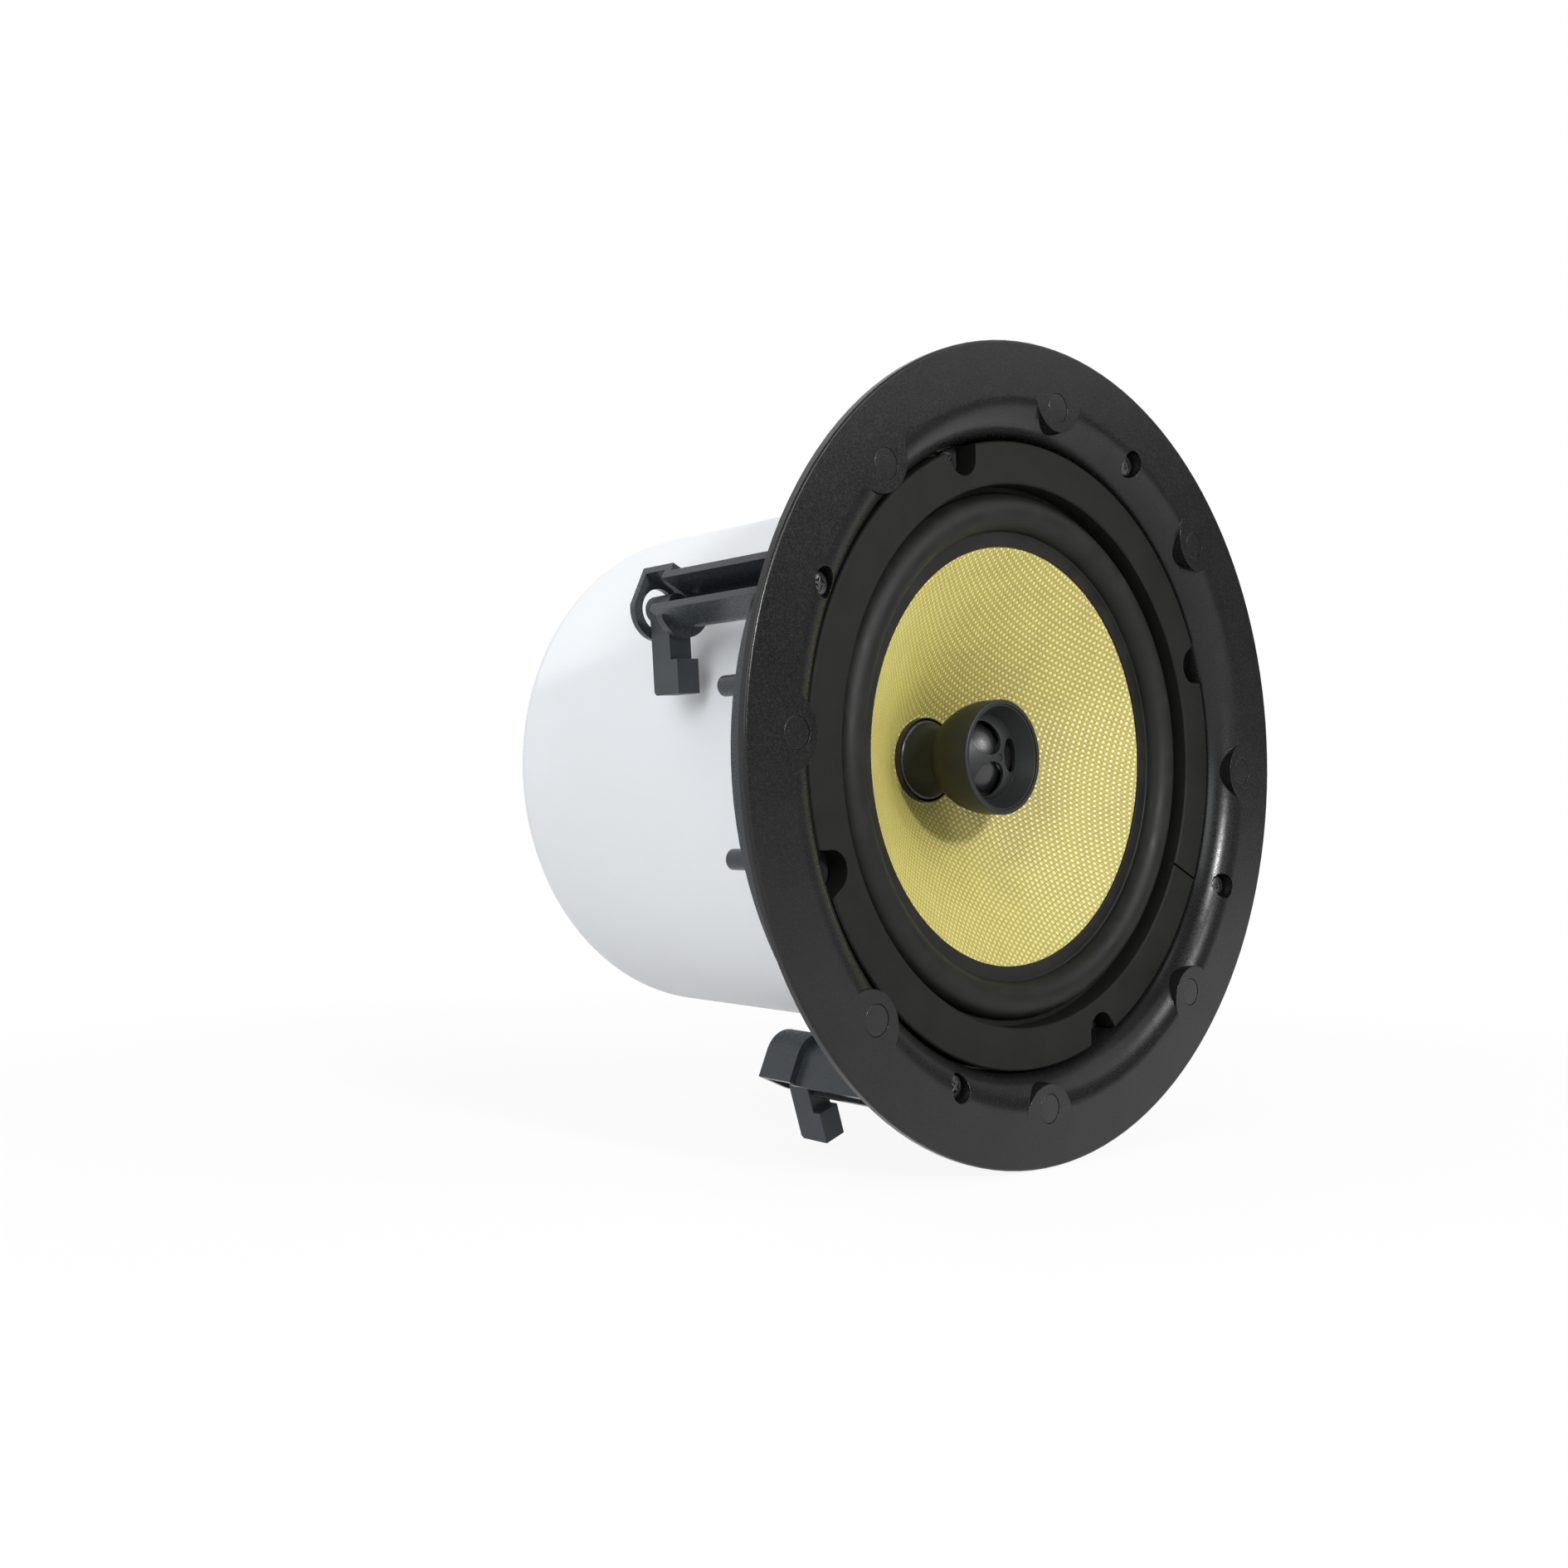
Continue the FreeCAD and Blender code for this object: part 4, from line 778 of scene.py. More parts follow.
@dataclass(frozen=True)
class ScrewShape:
    """A cross-head screw: domed head, recess and stem."""

    head_r: float
    head_h: float
    stem_r: float
    stem_len: float
    crown: float
    recess_len: float
    recess_w: float
    recess_d: float
    crown_points: tuple[Triple, ...] = ((0.6, 0.12, 0.3), (0.88, 0.5, 0.25), (1.0, 1.0, 0.2))
    seat_round: float = 0.12
    tip_cut: float = 0.5
    recess_taper: float = 0.82
    steps: int = 40

    def mesh(self, head_seat: float) -> Mesh:
        """Build the screw on the axis, its head to the front.

        Args:
            head_seat: depth of the head's underside.

        Returns:
            The screw's mesh.
        """
        top = head_seat - self.head_h
        tip = head_seat + self.stem_len
        section = Section(0.0, top)
        for out, down, rounding in self.crown_points:
            section.to(out * self.head_r, top + down * self.crown, rounding)
        section.to(self.head_r, head_seat, self.seat_round).to(self.stem_r, head_seat)
        section.to(self.stem_r, tip - self.tip_cut).to(self.stem_r - self.tip_cut, tip).to(0.0, tip)
        bm = section.turned(self.steps, closed=False, segments=2)
        self.cross(bm, top)
        return bm

    def cross(self, bm: Mesh, top: float) -> None:
        """Sink the cross recess into the head.

        Args:
            bm: the screw's mesh.
            top: depth of the head's crown.
        """
        limit = (top - FLANGE_T + self.crown) * MM
        half_len = 0.5 * self.recess_len * MM
        half_w = 0.5 * self.recess_w * MM
        for normal in (Vector((1.0, 0.0, 0.0)), Vector((0.0, 0.0, 1.0))):
            for offset in (-half_len, -half_w, half_w, half_len):
                front = [f for f in bm.faces if f.calc_center_median().y < limit]
                geom = set(front)
                for f in front:
                    geom.update(f.verts)
                    geom.update(f.edges)
                bmesh.ops.bisect_plane(bm, geom=list(geom), plane_co=normal * offset, plane_no=normal)
        inside = []
        for f in bm.faces:
            middle = f.calc_center_median()
            along_x = abs(middle.x) < half_len and abs(middle.z) < half_w
            along_z = abs(middle.z) < half_len and abs(middle.x) < half_w
            if middle.y < limit and f.normal.y < 0.0 and (along_x or along_z):
                inside.append(f)
        made = bmesh.ops.extrude_face_region(bm, geom=inside)
        sunk = [v for v in made["geom"] if isinstance(v, bmesh.types.BMVert)]
        bmesh.ops.translate(bm, verts=sunk, vec=(0.0, self.recess_d * MM, 0.0))
        bmesh.ops.scale(bm, verts=sunk, vec=(self.recess_taper, 1.0, self.recess_taper))
        bmesh.ops.recalc_face_normals(bm, faces=bm.faces)


def ring_places(radius: float, angles: Sequence[float]) -> list[Vector]:
    """Places in metres on a circle about the axis, at angles in degrees from X towards Z."""
    turns = [math.radians(a) for a in angles]
    return [Vector((radius * MM * math.cos(t), 0.0, radius * MM * math.sin(t))) for t in turns]


def quarter_angles(first: float) -> list[float]:
    """Four angles a quarter turn apart."""
    return [first + 90.0 * k for k in range(4)]


def screw_ring(shape: ScrewShape, head_seat: float, places: Sequence[Vector], turns: Span,
               flipped: bool = False) -> Mesh:
    """Set screws on their places, each turned further than the last.

    Args:
        shape: the screws' shape.
        head_seat: depth of the heads' undersides.
        places: where the screws stand.
        turns: turn of the first screw and step to the next, in degrees.
        flipped: whether the heads look to the back.

    Returns:
        One mesh of all screws.
    """
    made = []
    flip = Matrix.Rotation(math.pi if flipped else 0.0, 3, "X")
    for number, place in enumerate(places):
        screw = shape.mesh(head_seat)
        turn = Matrix.Rotation(math.radians(turns[0] + turns[1] * number), 3, "Y")
        bmesh.ops.rotate(screw, verts=screw.verts, cent=metres(0.0, head_seat), matrix=flip @ turn)
        bmesh.ops.translate(screw, verts=screw.verts, vec=place)
        made.append(screw)
    return joined(made)


@dataclass
class Bezel:
    """Flange, trough, collar and clamp towers, with the grille magnets."""

    softening: float = 0.14
    magnet_at: float = 120.0
    magnet_r: float = 5.0
    magnet_front: float = 0.15
    magnet_t: float = 2.8
    magnet_edge: float = 0.3
    magnet_count: int = 8
    magnet_steps: int = 48

    def build(self, palette: Palette) -> None:
        """Build the moulding and the magnets.

        Args:
            palette: the finishes.
        """
        moulding = piece("bezel_moulding", cad_copy("bezel", self.softening), palette.bezel.material())
        seat(moulding, Body.FRAME.value, "bezel_plastic", "bezel")
        discs = piece("magnet_discs", self.magnets(), palette.magnet.material())
        seat(discs, Body.FRAME.value, "magnet_metal", "grille_magnets")

    def magnets(self) -> Mesh:
        """Build the magnet discs.

        Returns:
            One mesh of all discs.
        """
        angles = [360.0 / self.magnet_count * k for k in range(self.magnet_count)]
        discs = []
        for place in ring_places(self.magnet_at, angles):
            back = self.magnet_front + self.magnet_t
            section = Section(0.0, self.magnet_front)
            section.to(self.magnet_r, self.magnet_front, self.magnet_edge)
            section.to(self.magnet_r, back).to(0.0, back)
            disc = section.turned(self.magnet_steps, closed=False, segments=3)
            bmesh.ops.translate(disc, verts=disc.verts, vec=place)
            discs.append(disc)
        return joined(discs)


@dataclass
class Woofer:
    """Ring, surround, cone, spider and screws of the woofer."""

    ring_softening: float = 0.2
    sur_out: float = 98.5
    roll_out: float = 91.25
    roll_in: float = 78.25
    sur_in: float = 73.1
    skin_front: float = 16.0
    skin_t: float = 0.8
    crease: float = 0.7
    skin_edge: float = 0.25
    skin_fold: float = 0.2
    cone_lap: float = 4.0
    cone_lip: float = 0.6
    cone_t: float = 0.8
    cone_edge: float = 0.2
    cone_round: float = 0.8
    cone_back_round: float = 0.5
    neck_flare: float = 1.0
    neck_fit: float = 0.1
    neck_d: float = 60.0
    neck_len: float = 4.0
    former_r: float = 15.8
    spider_d: float = 66.5
    spider_out: float = 46.0
    spider_land: float = 6.0
    spider_in: float = 3.2
    spider_t: float = 0.6
    wave_h: float = 1.3
    wave_count: int = 5
    land_round: float = 0.6
    wave_round: float = 0.9
    screw_at: float = 105.2
    screw_first: float = 22.5
    screw_turns: Span = (20.0, 31.0)
    screw: ScrewShape = ScrewShape(
        head_r=3.6, head_h=2.4, stem_r=1.9, stem_len=4.6,
        crown=1.1, recess_len=4.2, recess_w=1.0, recess_d=1.4)
    steps: int = 240
    roll_steps: int = 40
    roll_back_steps: int = 32
    spider_steps: int = 120

    def build(self, palette: Palette) -> None:
        """Build and dress the woofer's pieces.

        Args:
            palette: the finishes.
        """
        body = Body.FRAME.value
        trim = cad_copy("woofer_ring", self.ring_softening)
        ring = piece("woofer_trim_ring", trim, palette.ring.material())
        seat(ring, body, "ring_plastic", "woofer_ring")
        self.cross_joint(
            piece("surround_roll", self.surround(), palette.surround.material()),
            "surround")
        cone = piece("cone_shell", self.cone(), palette.cone.material())
        seat(cone, Body.CONE.value, "cone_cloth", "woofer_cone")
        self.cross_joint(
            piece("spider_disc", self.spider(), palette.spider.material()),
            "spider")
        screws = piece("woofer_cross_screws", self.screws(), palette.black_steel.material())
        seat(screws, body, "black_steel", "woofer_screws")

    def cross_joint(self, obj: bpy.types.Object, node: str) -> None:
        """Bake a soft ring's placement into its mesh and hide the CAD node that it stands for.

        Args:
            obj: the soft ring.
            node: the CAD node that it stands for.
        """
        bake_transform(obj)
        flat = np.zeros(3 * len(obj.data.vertices), np.float32)
        obj.data.vertices.foreach_get("co", flat)
        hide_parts(node)

    def surround(self) -> Mesh:
        """Build the half roll between two lands.

        Returns:
            The surround's mesh.
        """
        back = self.skin_front + self.skin_t
        middle = 0.5 * (self.roll_in + self.roll_out)
        section = Section(self.sur_in, self.skin_front, self.skin_edge)
        section.to(self.roll_in, self.skin_front, self.crease)
        section.swing(middle, self.skin_front, 180.0, self.roll_steps).rounded(self.crease)
        section.to(self.sur_out, self.skin_front).to(self.sur_out, back)
        section.to(self.roll_out - self.skin_t, back, self.skin_fold)
        section.to(self.roll_out - self.skin_t, self.skin_front)
        section.swing(middle, self.skin_front, -180.0, self.roll_back_steps)
        section.to(self.roll_in + self.skin_t, back, self.skin_fold).to(self.sur_in, back)
        return section.turned(self.steps)

    def cone(self) -> Mesh:
        """Build the cone with its rim and neck.

        Returns:
            The cone's mesh.
        """
        front = self.skin_front + self.skin_t
        neck_r = self.former_r + self.cone_t
        neck_back = self.neck_d + self.neck_len
        fit_d = self.neck_d + self.cone_t + self.neck_fit
        section = Section(self.sur_in + self.cone_lap, front, self.cone_edge)
        section.to(self.sur_in - self.cone_lip, front, self.cone_round)
        section.to(self.former_r + self.neck_flare, self.neck_d, self.cone_round)
        section.to(self.former_r, self.neck_d).to(self.former_r, neck_back).to(neck_r, neck_back)
        section.to(neck_r + self.neck_flare, fit_d, self.cone_round)
        section.to(self.sur_in, front + self.cone_t, self.cone_back_round)
        section.to(self.sur_in + self.cone_lap, front + self.cone_t, self.cone_edge)
        return section.turned(self.steps)

    def spider(self) -> Mesh:
        """Build the waved disc behind the cone.

        Returns:
            The spider's mesh.
        """
        start = self.former_r + self.spider_in
        end = self.spider_out - self.spider_land
        count = 2 * self.wave_count
        crests = [(self.former_r, 0.0, 0.0), (start, 0.0, self.land_round)]
        for k in range(1, count):
            lift = self.wave_h if k % 2 == 0 else -self.wave_h
            crests.append((start + (end - start) * k / count, lift, self.wave_round))
        crests += [(end, 0.0, self.land_round), (self.spider_out, 0.0, 0.0)]
        section = Section(crests[0][0], self.spider_d + crests[0][1])
        for radius, lift, rounding in crests[1:]:
            section.to(radius, self.spider_d + lift, rounding)
        for radius, lift, rounding in reversed(crests):
            section.to(radius, self.spider_d + lift + self.spider_t, rounding)
        return section.turned(self.spider_steps, segments=3)

    def screws(self) -> Mesh:
        """Build the four screws in the ring's notches."""
        places = ring_places(self.screw_at, quarter_angles(self.screw_first))
        return screw_ring(self.screw, self.skin_front + self.skin_t, places, self.screw_turns)


@dataclass
class Tweeter:
    """Base, pod, bridge and dome on the post."""

    former_in: float = 15.4
    base_gap: float = 0.6
    base_d: float = 57.5
    base_back: float = 75.5
    base_round: float = 1.0
    base_edge: float = 0.2
    bore: float = 5.05
    pod_r: float = 20.4
    pod_d: float = 22.0
    pod_edge: float = 0.7
    pod_lip: float = 1.0
    pod_rim: float = 0.2
    pod_straight: float = 5.0
    cup_shift: float = -5.44
    cup_foot: float = 11.4
    neck_r: float = 11.2
    neck_d: float = 49.5
    neck_round: float = 7.0
    neck_foot: float = 13.7
    pod_floor_t: float = 11.0
    pod_room: float = 10.9
    pod_step: float = 1.3
    pod_recess: float = 9.0
    motor_r: float = 15.4
    motor_front: float = 12.1
    motor_back: float = 19.1
    bridge_softening: float = 0.12
    dome_r: float = 18.7
    dome_rise: float = 4.8
    dome_edge: float = 12.5
    dome_t: float = 0.7
    dome_land: float = 17.25
    seat_t: float = 0.8
    steps: int = 160
    cup_steps: int = 24
    dome_steps: int = 20

    def build(self, palette: Palette) -> None:
        """Build and dress the tweeter's pieces.

        Args:
            palette: the finishes.
        """
        body = Body.FRAME.value
        plastic = palette.pod.material()
        foot = piece("tweeter_foot", self.base(), palette.base.material())
        seat(foot, body, "base_plastic", "tweeter_base")
        seat(piece("tweeter_cup", self.pod(), plastic), body, "pod_plastic", "tweeter_pod")
        bridge = piece("tweeter_guide", cad_copy("tweeter_bridge", self.bridge_softening), plastic)
        seat(bridge, body, "pod_plastic", "tweeter_bridge")
        seat(piece("tweeter_cap", self.dome(), palette.dome.material()), body, "dome_cloth", "tweeter_dome")

    def base(self) -> Mesh:
        """Build the polished foot on the pole.

        Returns:
            The foot's mesh.
        """
        radius = self.former_in - self.base_gap
        section = Section(self.bore, self.base_d)
        section.to(radius, self.base_d, self.base_round).to(radius, self.base_back, self.base_edge)
        section.to(self.bore, self.base_back)
        return section.turned(self.steps, segments=8)

    def pod(self) -> Mesh:
        """Build the cup that holds the tweeter.

        Returns:
            The cup's mesh.
        """
        inner = self.pod_r - self.pod_edge - self.pod_lip
        turn_d = self.pod_d + self.pod_straight
        floor = self.base_d - self.pod_floor_t
        seat_d = self.pod_d + self.pod_recess
        cup_r = self.pod_r - self.cup_shift
        sweep = math.acos((self.cup_foot - self.cup_shift) / cup_r)
        front = self.pod_d + self.motor_front
        back = self.pod_d + self.motor_back
        section = Section(inner, self.pod_d, self.pod_rim)
        section.to(self.pod_r, self.pod_d, self.pod_edge).to(self.pod_r, turn_d)
        section.swing(self.cup_shift, turn_d, math.degrees(sweep), self.cup_steps)
        section.to(self.neck_r, self.neck_d, self.neck_round).to(self.neck_foot, self.base_d)
        section.to(self.bore, self.base_d).to(self.bore, floor).to(self.pod_room, floor)
        section.to(self.pod_room, back).to(self.motor_r, back).to(self.motor_r, front)
        section.to(inner - self.pod_step, front).to(inner - self.pod_step, seat_d).to(inner, seat_d)
        return section.turned(self.steps, segments=5)

    def dome(self) -> Mesh:
        """Build the dome with its land.

        Returns:
            The dome's mesh.
        """
        seat_d = self.pod_d + self.pod_recess
        top = seat_d - self.dome_rise
        middle = top + self.dome_r
        back = seat_d + self.seat_t
        inner_r = self.dome_r - self.dome_t
        outer_sweep = math.degrees(math.asin(self.dome_edge / self.dome_r))
        inner_sweep = math.degrees(math.acos((middle - back) / inner_r))
        section = Section(0.0, top)
        section.swing(0.0, middle, outer_sweep, self.dome_steps)
        section.to(self.dome_land, seat_d).to(self.dome_land, back)
        inner_edge = inner_r * math.sin(math.radians(inner_sweep))
        section.to(inner_edge, back)
        section.swing(0.0, middle, -inner_sweep, self.dome_steps)
        return section.turned(self.steps, closed=False)


@dataclass
class BackCan:
    """Drawn can with its screws and cable inlet."""

    can_r: float = 98.3
    can_t: float = 1.2
    seal_back: float = 23.0
    can_d: float = 186.0
    can_round: float = 10.0
    can_rim: float = 109.8
    rim_fold: float = 1.0
    rim_inner_round: float = 0.5
    rim_front_round: float = 0.3
    rim_back_round: float = 0.4
    inlet_round: float = 0.3
    inlet_r: float = 11.0
    grommet_bore: float = 6.5
    grommet_lip: float = 2.5
    grommet_in: float = 3.0
    grommet_out: float = 2.0
    bore_round: float = 0.8
    lip_in_round: float = 0.9
    lip_out_round: float = 1.2
    lip_foot_round: float = 0.3
    fit_gap: float = 0.05
    screw_at: float = 104.5
    screw_first: float = 45.0
    screw_turns: Span = (12.0, 37.0)
    screw: ScrewShape = ScrewShape(
        head_r=3.5, head_h=2.2, stem_r=1.75, stem_len=5.1,
        crown=1.0, recess_len=4.0, recess_w=1.0, recess_d=1.3)
    steps: int = 256
    round_steps: int = 20
    round_in_steps: int = 16
    grommet_steps: int = 96

    def build(self, palette: Palette) -> None:
        """Build and dress the can's pieces.

        Args:
            palette: the finishes.
        """
        body = Body.FRAME.value
        rubber = palette.seal.material()
        seat(piece("can_shell", self.can(), palette.can.material()), body, "can_paint", "back_can")
        seat(piece("inlet_grommet", self.grommet(), rubber), body, "seal_rubber", "cable_grommet")
        seat(piece("can_cross_screws", self.screws(), palette.black_steel.material()), body,
             "black_steel", "can_screws")
        dress("can_gasket", rubber)

    def can(self) -> Mesh:
        """Build the can with its folded rim.

        Returns:
            The can's mesh.
        """
        inner = self.can_r - self.can_t
        rim_back = self.seal_back + self.can_t
        round_r = self.can_r - self.can_round
        round_d = self.can_d - self.can_round
        floor = self.can_d - self.can_t
        section = Section(inner, self.seal_back, self.rim_inner_round)
        section.to(self.can_rim, self.seal_back, self.rim_front_round)
        section.to(self.can_rim, rim_back, self.rim_back_round)
        section.to(self.can_r, rim_back, self.rim_fold).to(self.can_r, round_d)
        section.swing(round_r, round_d, 90.0, self.round_steps)
        section.to(self.inlet_r, self.can_d, self.inlet_round).to(self.inlet_r, floor, self.inlet_round)
        section.to(round_r, floor)
        section.swing(round_r, round_d, -90.0, self.round_in_steps)
        return section.turned(self.steps)

    def grommet(self) -> Mesh:
        """Build the rubber grommet of the cable inlet.

        Returns:
            The grommet's mesh.
        """
        floor = self.can_d - self.can_t
        lip = self.inlet_r + self.grommet_lip
        neck = self.inlet_r - self.fit_gap
        front = floor - self.grommet_in
        back = self.can_d + self.grommet_out
        section = Section(self.grommet_bore, front, self.bore_round)
        section.to(lip, front, self.lip_in_round).to(lip, floor, self.lip_foot_round)
        section.to(neck, floor).to(neck, self.can_d)
        section.to(lip, self.can_d, self.lip_foot_round).to(lip, back, self.lip_out_round)
        section.to(self.grommet_bore, back, self.bore_round)
        return section.turned(self.grommet_steps, segments=5)

    def screws(self) -> Mesh:
        """Build the four screws in the can's rim, heads to the back."""
        places = ring_places(self.screw_at, quarter_angles(self.screw_first))
        return screw_ring(self.screw, self.seal_back + self.can_t, places, self.screw_turns, flipped=True)


@dataclass
class Clamps:
    """Four long screws with their swing-out dogs."""

    at: float = 118.0
    first: float = 67.5
    dog_softening: float = 0.2
    head_seat: float = 5.74
    cap_d: float = 83.0
    core_r: float = 2.1
    crest_r: float = 2.5
    pitch: float = 1.25
    thread_start: float = 12.5
    thread_end: float = 2.0
    thread_steps: int = 20
    root_sink: float = 0.06
    ridge_shares: Triple = (0.42, 0.5, 0.92)
    turns: Span = (15.0, 40.0)
    screw: ScrewShape = ScrewShape(
        head_r=4.0, head_h=2.6, stem_r=2.1, stem_len=77.26,
        crown=1.2, recess_len=4.6, recess_w=1.1, recess_d=1.6)

    def build(self, palette: Palette) -> None:
        """Build and dress screws and dogs.

        Args:
            palette: the finishes.
        """
        steel = palette.black_steel.material()
        plastic = palette.clamp.material()
        for number, place in enumerate(ring_places(self.at, quarter_angles(self.first)), start=1):
            screw = joined((self.screw.mesh(self.head_seat), self.thread()))
            turn = Matrix.Rotation(math.radians(self.turns[0] + self.turns[1] * number), 3, "Y")
            bmesh.ops.rotate(screw, verts=screw.verts, cent=(0.0, 0.0, 0.0), matrix=turn)
            bmesh.ops.translate(screw, verts=screw.verts, vec=place)
            node = "clamp_screw_%d" % number
            seat(piece("long_screw_%d" % number, screw, steel), "screw_%d" % number, "black_steel", node)
            node = "clamp_dog_%d" % number
            dog = piece("swing_dog_%d" % number, cad_copy(node, self.dog_softening), plastic)
            seat(dog, "dog_%d" % number, "clamp_plastic", node)

    def thread(self) -> Mesh:
        """Build the rolled thread of a long screw.

        Returns:
            The thread's mesh.
        """
        bm = bmesh.new()
        root = self.core_r - self.root_sink
        radii = (root, self.crest_r, self.crest_r, root)
        ridge = [
            bm.verts.new(metres(radius, self.thread_start + share * self.pitch))
            for radius, share in zip(radii, (0.0, *self.ridge_shares))
        ]
        edges = [bm.edges.new((a, b)) for a, b in zip(ridge, ridge[1:] + ridge[:1])]
        turns = int((self.cap_d - self.thread_start - self.thread_end) / self.pitch)
        steps = turns * self.thread_steps
        made = bmesh.ops.spin(
            bm, geom=ridge + edges, cent=(0.0, 0.0, 0.0), axis=AXIS, angle=math.tau * turns, steps=steps,
            dvec=(0.0, self.pitch * MM / self.thread_steps, 0.0), use_merge=False,
        )
        last = [v for v in made["geom_last"] if isinstance(v, bmesh.types.BMVert)]
        bmesh.ops.contextual_create(bm, geom=ridge)
        bmesh.ops.contextual_create(bm, geom=last)
        bmesh.ops.recalc_face_normals(bm, faces=bm.faces)
        return bm


@dataclass
class InnerParts:
    """Motor, coils and crossover, which stay as the CAD made them."""

    plated: tuple[str, ...] = ("top_plate", "yoke", "tweeter_motor", "tweeter_post", "post_nut")
    wound: tuple[str, ...] = ("voice_coil", "crossover_coil")
    moulded: tuple[str, ...] = ("crossover_caps", "terminal_block")

    def build(self, palette: Palette) -> None:
        """Dress the inner CAD nodes.

        Args:
            palette: the finishes.
        """
        groups = (
            (self.plated, palette.plated), (self.wound, palette.winding), (self.moulded, palette.parts),
            (("coil_former",), palette.former), (("woofer_basket",), palette.basket),
            (("woofer_magnet",), palette.ferrite), (("crossover_board",), palette.board),
        )
        for nodes, finish in groups:
            material = finish.material()
            for node in nodes:
                dress(node, material)


@dataclass(frozen=True)
class Lamp:
    """A square soft light."""

    name: str
    place: Triple
    aim: Triple
    width: float
    power: float
    colour: Colour = WHITE

    def hang(self) -> None:
        """Add the light to the scene."""
        data = bpy.data.lights.new(self.name, "AREA")
        data.shape = "SQUARE"
        data.size = self.width
        data.energy = self.power
        data.color = self.colour
        obj = bpy.data.objects.new(self.name, data)
        bpy.context.scene.collection.objects.link(obj)
        obj.location = self.place
        obj.rotation_euler = (Vector(self.aim) - Vector(self.place)).to_track_quat("-Z", "Y").to_euler()


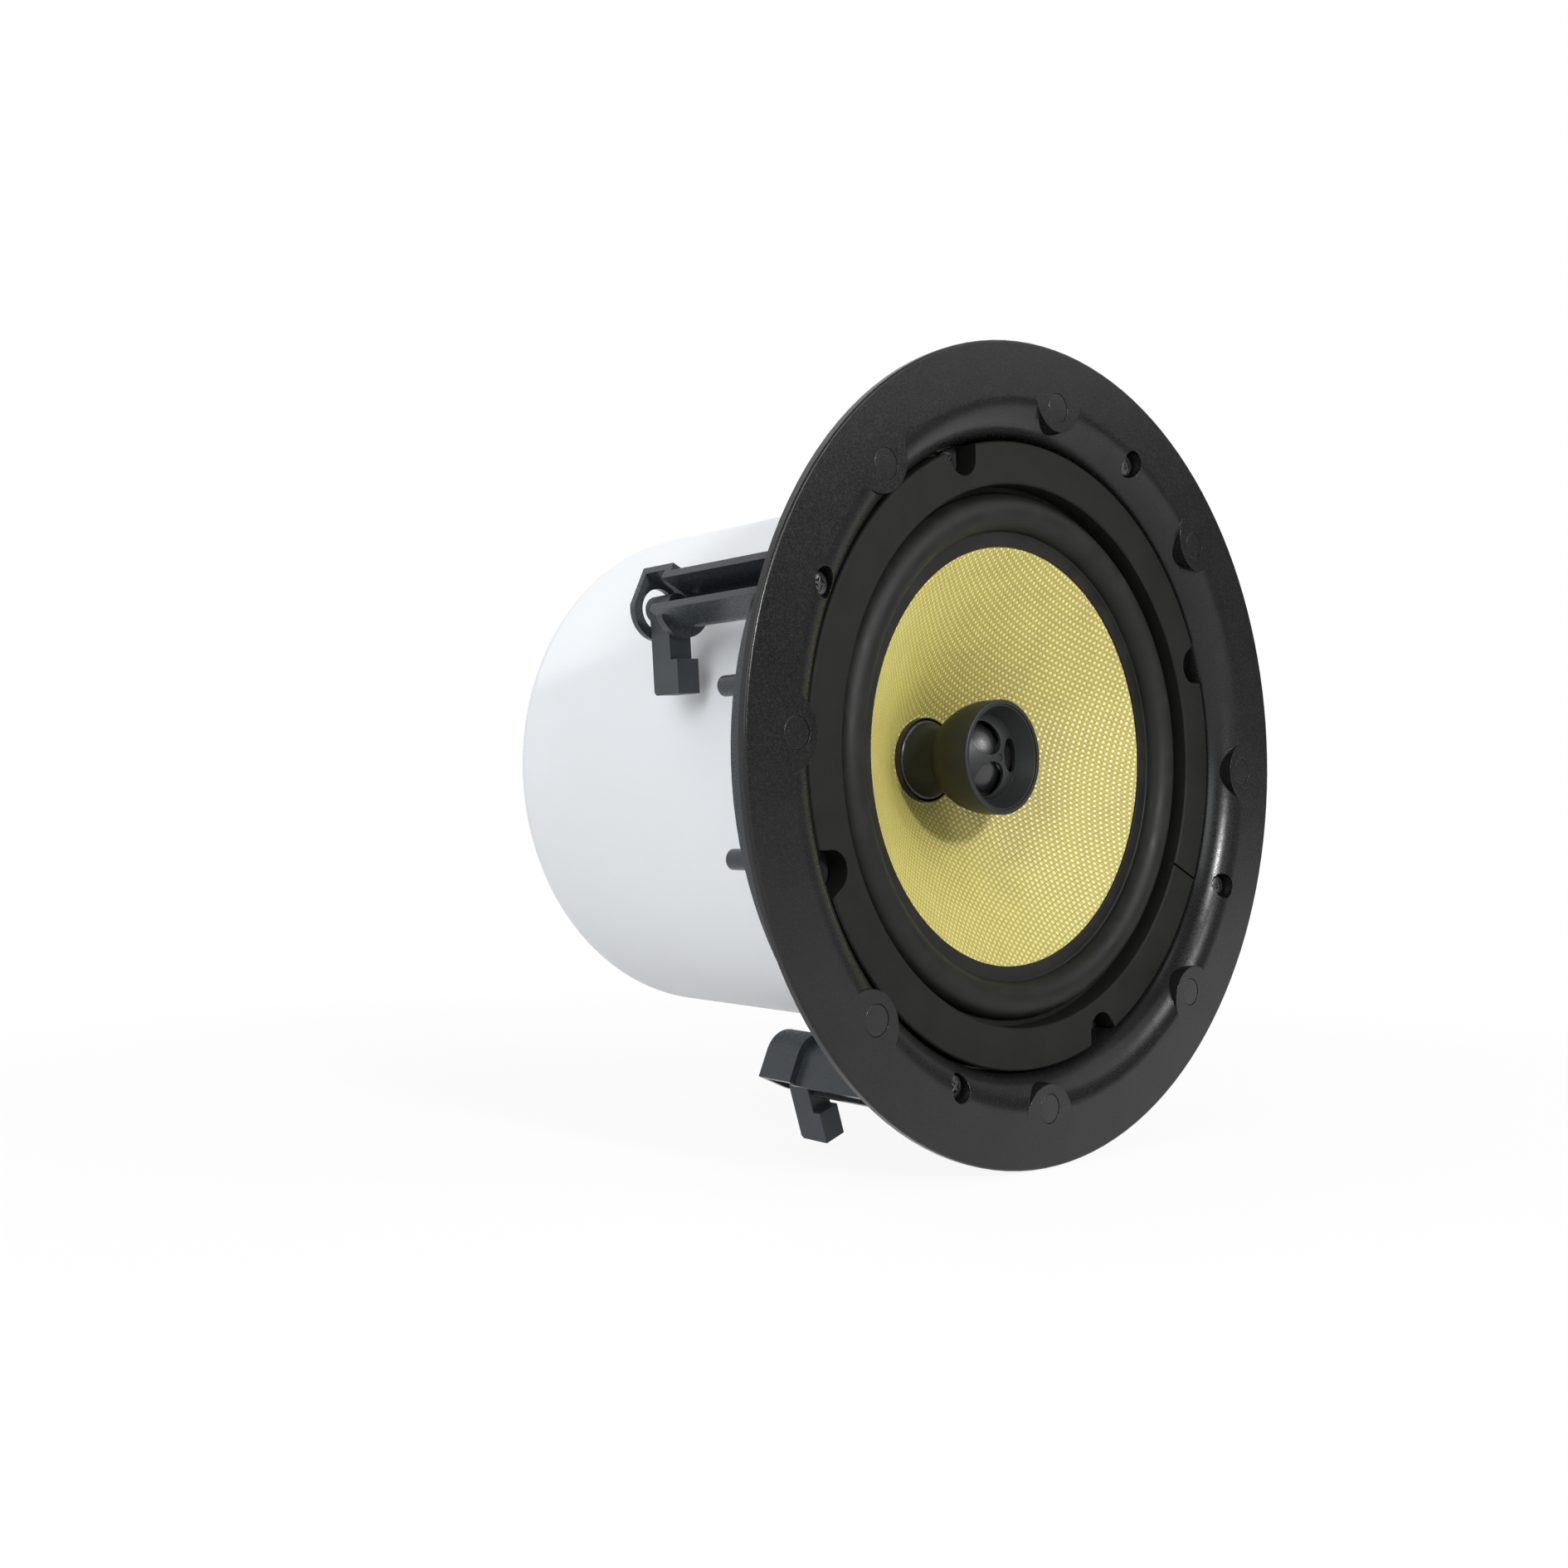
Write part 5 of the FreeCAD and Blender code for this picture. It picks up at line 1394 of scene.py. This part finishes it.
@dataclass
class Studio:
    """Camera, floor, world and lamps."""

    eye: Triple = (-0.41446, -0.32088, -0.03260)
    right: Triple = (0.73847, -0.67402, 0.01897)
    up: Triple = (-0.04145, -0.01729, 0.99899)
    look: Triple = (0.67301, 0.73851, 0.04071)
    lens: float = 34.59
    film: float = 36.0
    near: float = 0.01
    floor_z: float = -0.1402
    floor_half: float = 6.0
    floor_tone: Colour = (0.80, 0.80, 0.80)
    floor_roughness: float = 0.9
    floor_white: float = 0.91
    floor_near: float = 260.0
    floor_far: float = 650.0
    backdrop_edge: float = 0.3
    ambient: float = 0.27
    room: float = 0.14
    lamps: tuple[Lamp, ...] = (
        Lamp("key_light", (-0.345, -1.365, 0.525), (0.0, 0.02, 0.0), 0.18, 18.0),
        Lamp("fill_light", (0.42, -1.18, 0.64), (0.0, 0.02, 0.0), 0.4, 5.0),
        Lamp("right_light", (0.80, -0.80, 1.00), (0.0, 0.02, 0.0), 1.1, 3.5),
        Lamp("top_light", (-0.45, 0.30, 1.20), (-0.05, 0.06, 0.0), 1.0, 5.2),
        Lamp("side_light", (-1.28, -0.30, 0.48), (0.0, 0.08, 0.0), 0.9, 8.3, (0.93, 0.97, 1.0)),
    )

    def build(self) -> None:
        """Set up the whole studio."""
        self.camera()
        self.floor()
        self.world()
        for lamp in self.lamps:
            lamp.hang()
        bpy.context.scene.view_settings.view_transform = "Standard"

    def camera(self) -> None:
        """Add the camera at the photo's angle."""
        data = bpy.data.cameras.new("camera")
        data.sensor_width = self.film
        data.lens = self.lens
        data.clip_start = self.near
        obj = bpy.data.objects.new("camera", data)
        bpy.context.scene.collection.objects.link(obj)
        columns = (Vector(self.right), Vector(self.up), -Vector(self.look))
        turn = Matrix(columns).transposed().to_quaternion()
        obj.matrix_world = Matrix.LocRotScale(Vector(self.eye), turn, None)
        bpy.context.scene.camera = obj

    def floor(self) -> None:
        """Add the pale floor, which keeps a faint shadow."""
        bm = bmesh.new()
        bmesh.ops.create_grid(bm, x_segments=1, y_segments=1, size=self.floor_half)
        bmesh.ops.translate(bm, verts=bm.verts, vec=(0.0, 0.0, self.floor_z))
        mesh = bpy.data.meshes.new("floor")
        bm.to_mesh(mesh)
        bm.free()
        obj = bpy.data.objects.new("floor", mesh)
        bpy.context.scene.collection.objects.link(obj)
        bench = NodeBench("floor_paper")
        tone = (*self.floor_tone, 1.0)
        bench.set(Base_Color=tone, Roughness=self.floor_roughness, Specular_IOR_Level=0.0)
        glow = bench.add("ShaderNodeEmission")
        rays = bench.add("ShaderNodeLightPath").outputs
        seen = bench.maths("MAXIMUM", rays["Is Camera Ray"], rays["Is Glossy Ray"])
        seen = bench.maths("MAXIMUM", seen, rays["Is Transmission Ray"])
        mix = bench.add("ShaderNodeMixShader")
        x, y, _ = bench.split(bench.place)
        white = bench.spread(bench.reach(x, y), self.floor_near, self.floor_far, self.floor_white, 1.0)
        bench.link(bench.maths("MULTIPLY", seen, white), mix.inputs["Fac"])
        bench.link(bench.surface.outputs["BSDF"], mix.inputs[1])
        bench.link(glow.outputs["Emission"], mix.inputs[2])
        bench.link(mix.outputs["Shader"], bench.output.inputs["Surface"])
        mesh.materials.append(bench.material)

    def world(self) -> None:
        """Set the world: white to the eye, softer as light, a white backdrop and a dim room in gloss."""
        world = bpy.data.worlds.new("studio_world")
        bpy.context.scene.world = world
        world.use_nodes = True
        bench = NodeTree(world.node_tree)
        rays = bench.add("ShaderNodeLightPath").outputs
        _, inwards, _ = bench.split(bench.add("ShaderNodeTexCoord").outputs["Generated"])
        backdrop = bench.spread(inwards, -self.backdrop_edge, self.backdrop_edge, self.room, 1.0)
        seen = bench.maths("MAXIMUM", rays["Is Camera Ray"], rays["Is Transmission Ray"])
        level = bench.spread(seen, 0.0, 1.0, self.ambient, 1.0)
        strength = bench.add("ShaderNodeMix")
        bench.link(rays["Is Glossy Ray"], strength.inputs[0])
        bench.link(level, strength.inputs[2])
        bench.link(backdrop, strength.inputs[3])
        back = bench.add("ShaderNodeBackground", Color=(*WHITE, 1.0), Strength=strength.outputs[0])
        bench.add("ShaderNodeOutputWorld", Surface=back.outputs["Background"])


def main() -> None:
    """Build the studio and every piece."""
    logging.basicConfig(level=logging.INFO, format="%(message)s")
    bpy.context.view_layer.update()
    palette = Palette()
    Studio().build()
    for assembly in (Bezel(), Woofer(), Tweeter(), BackCan(), Clamps(), InnerParts()):
        LOG.info("building %s", type(assembly).__name__)
        assembly.build(palette)


if __name__ == "__main__":
    main()
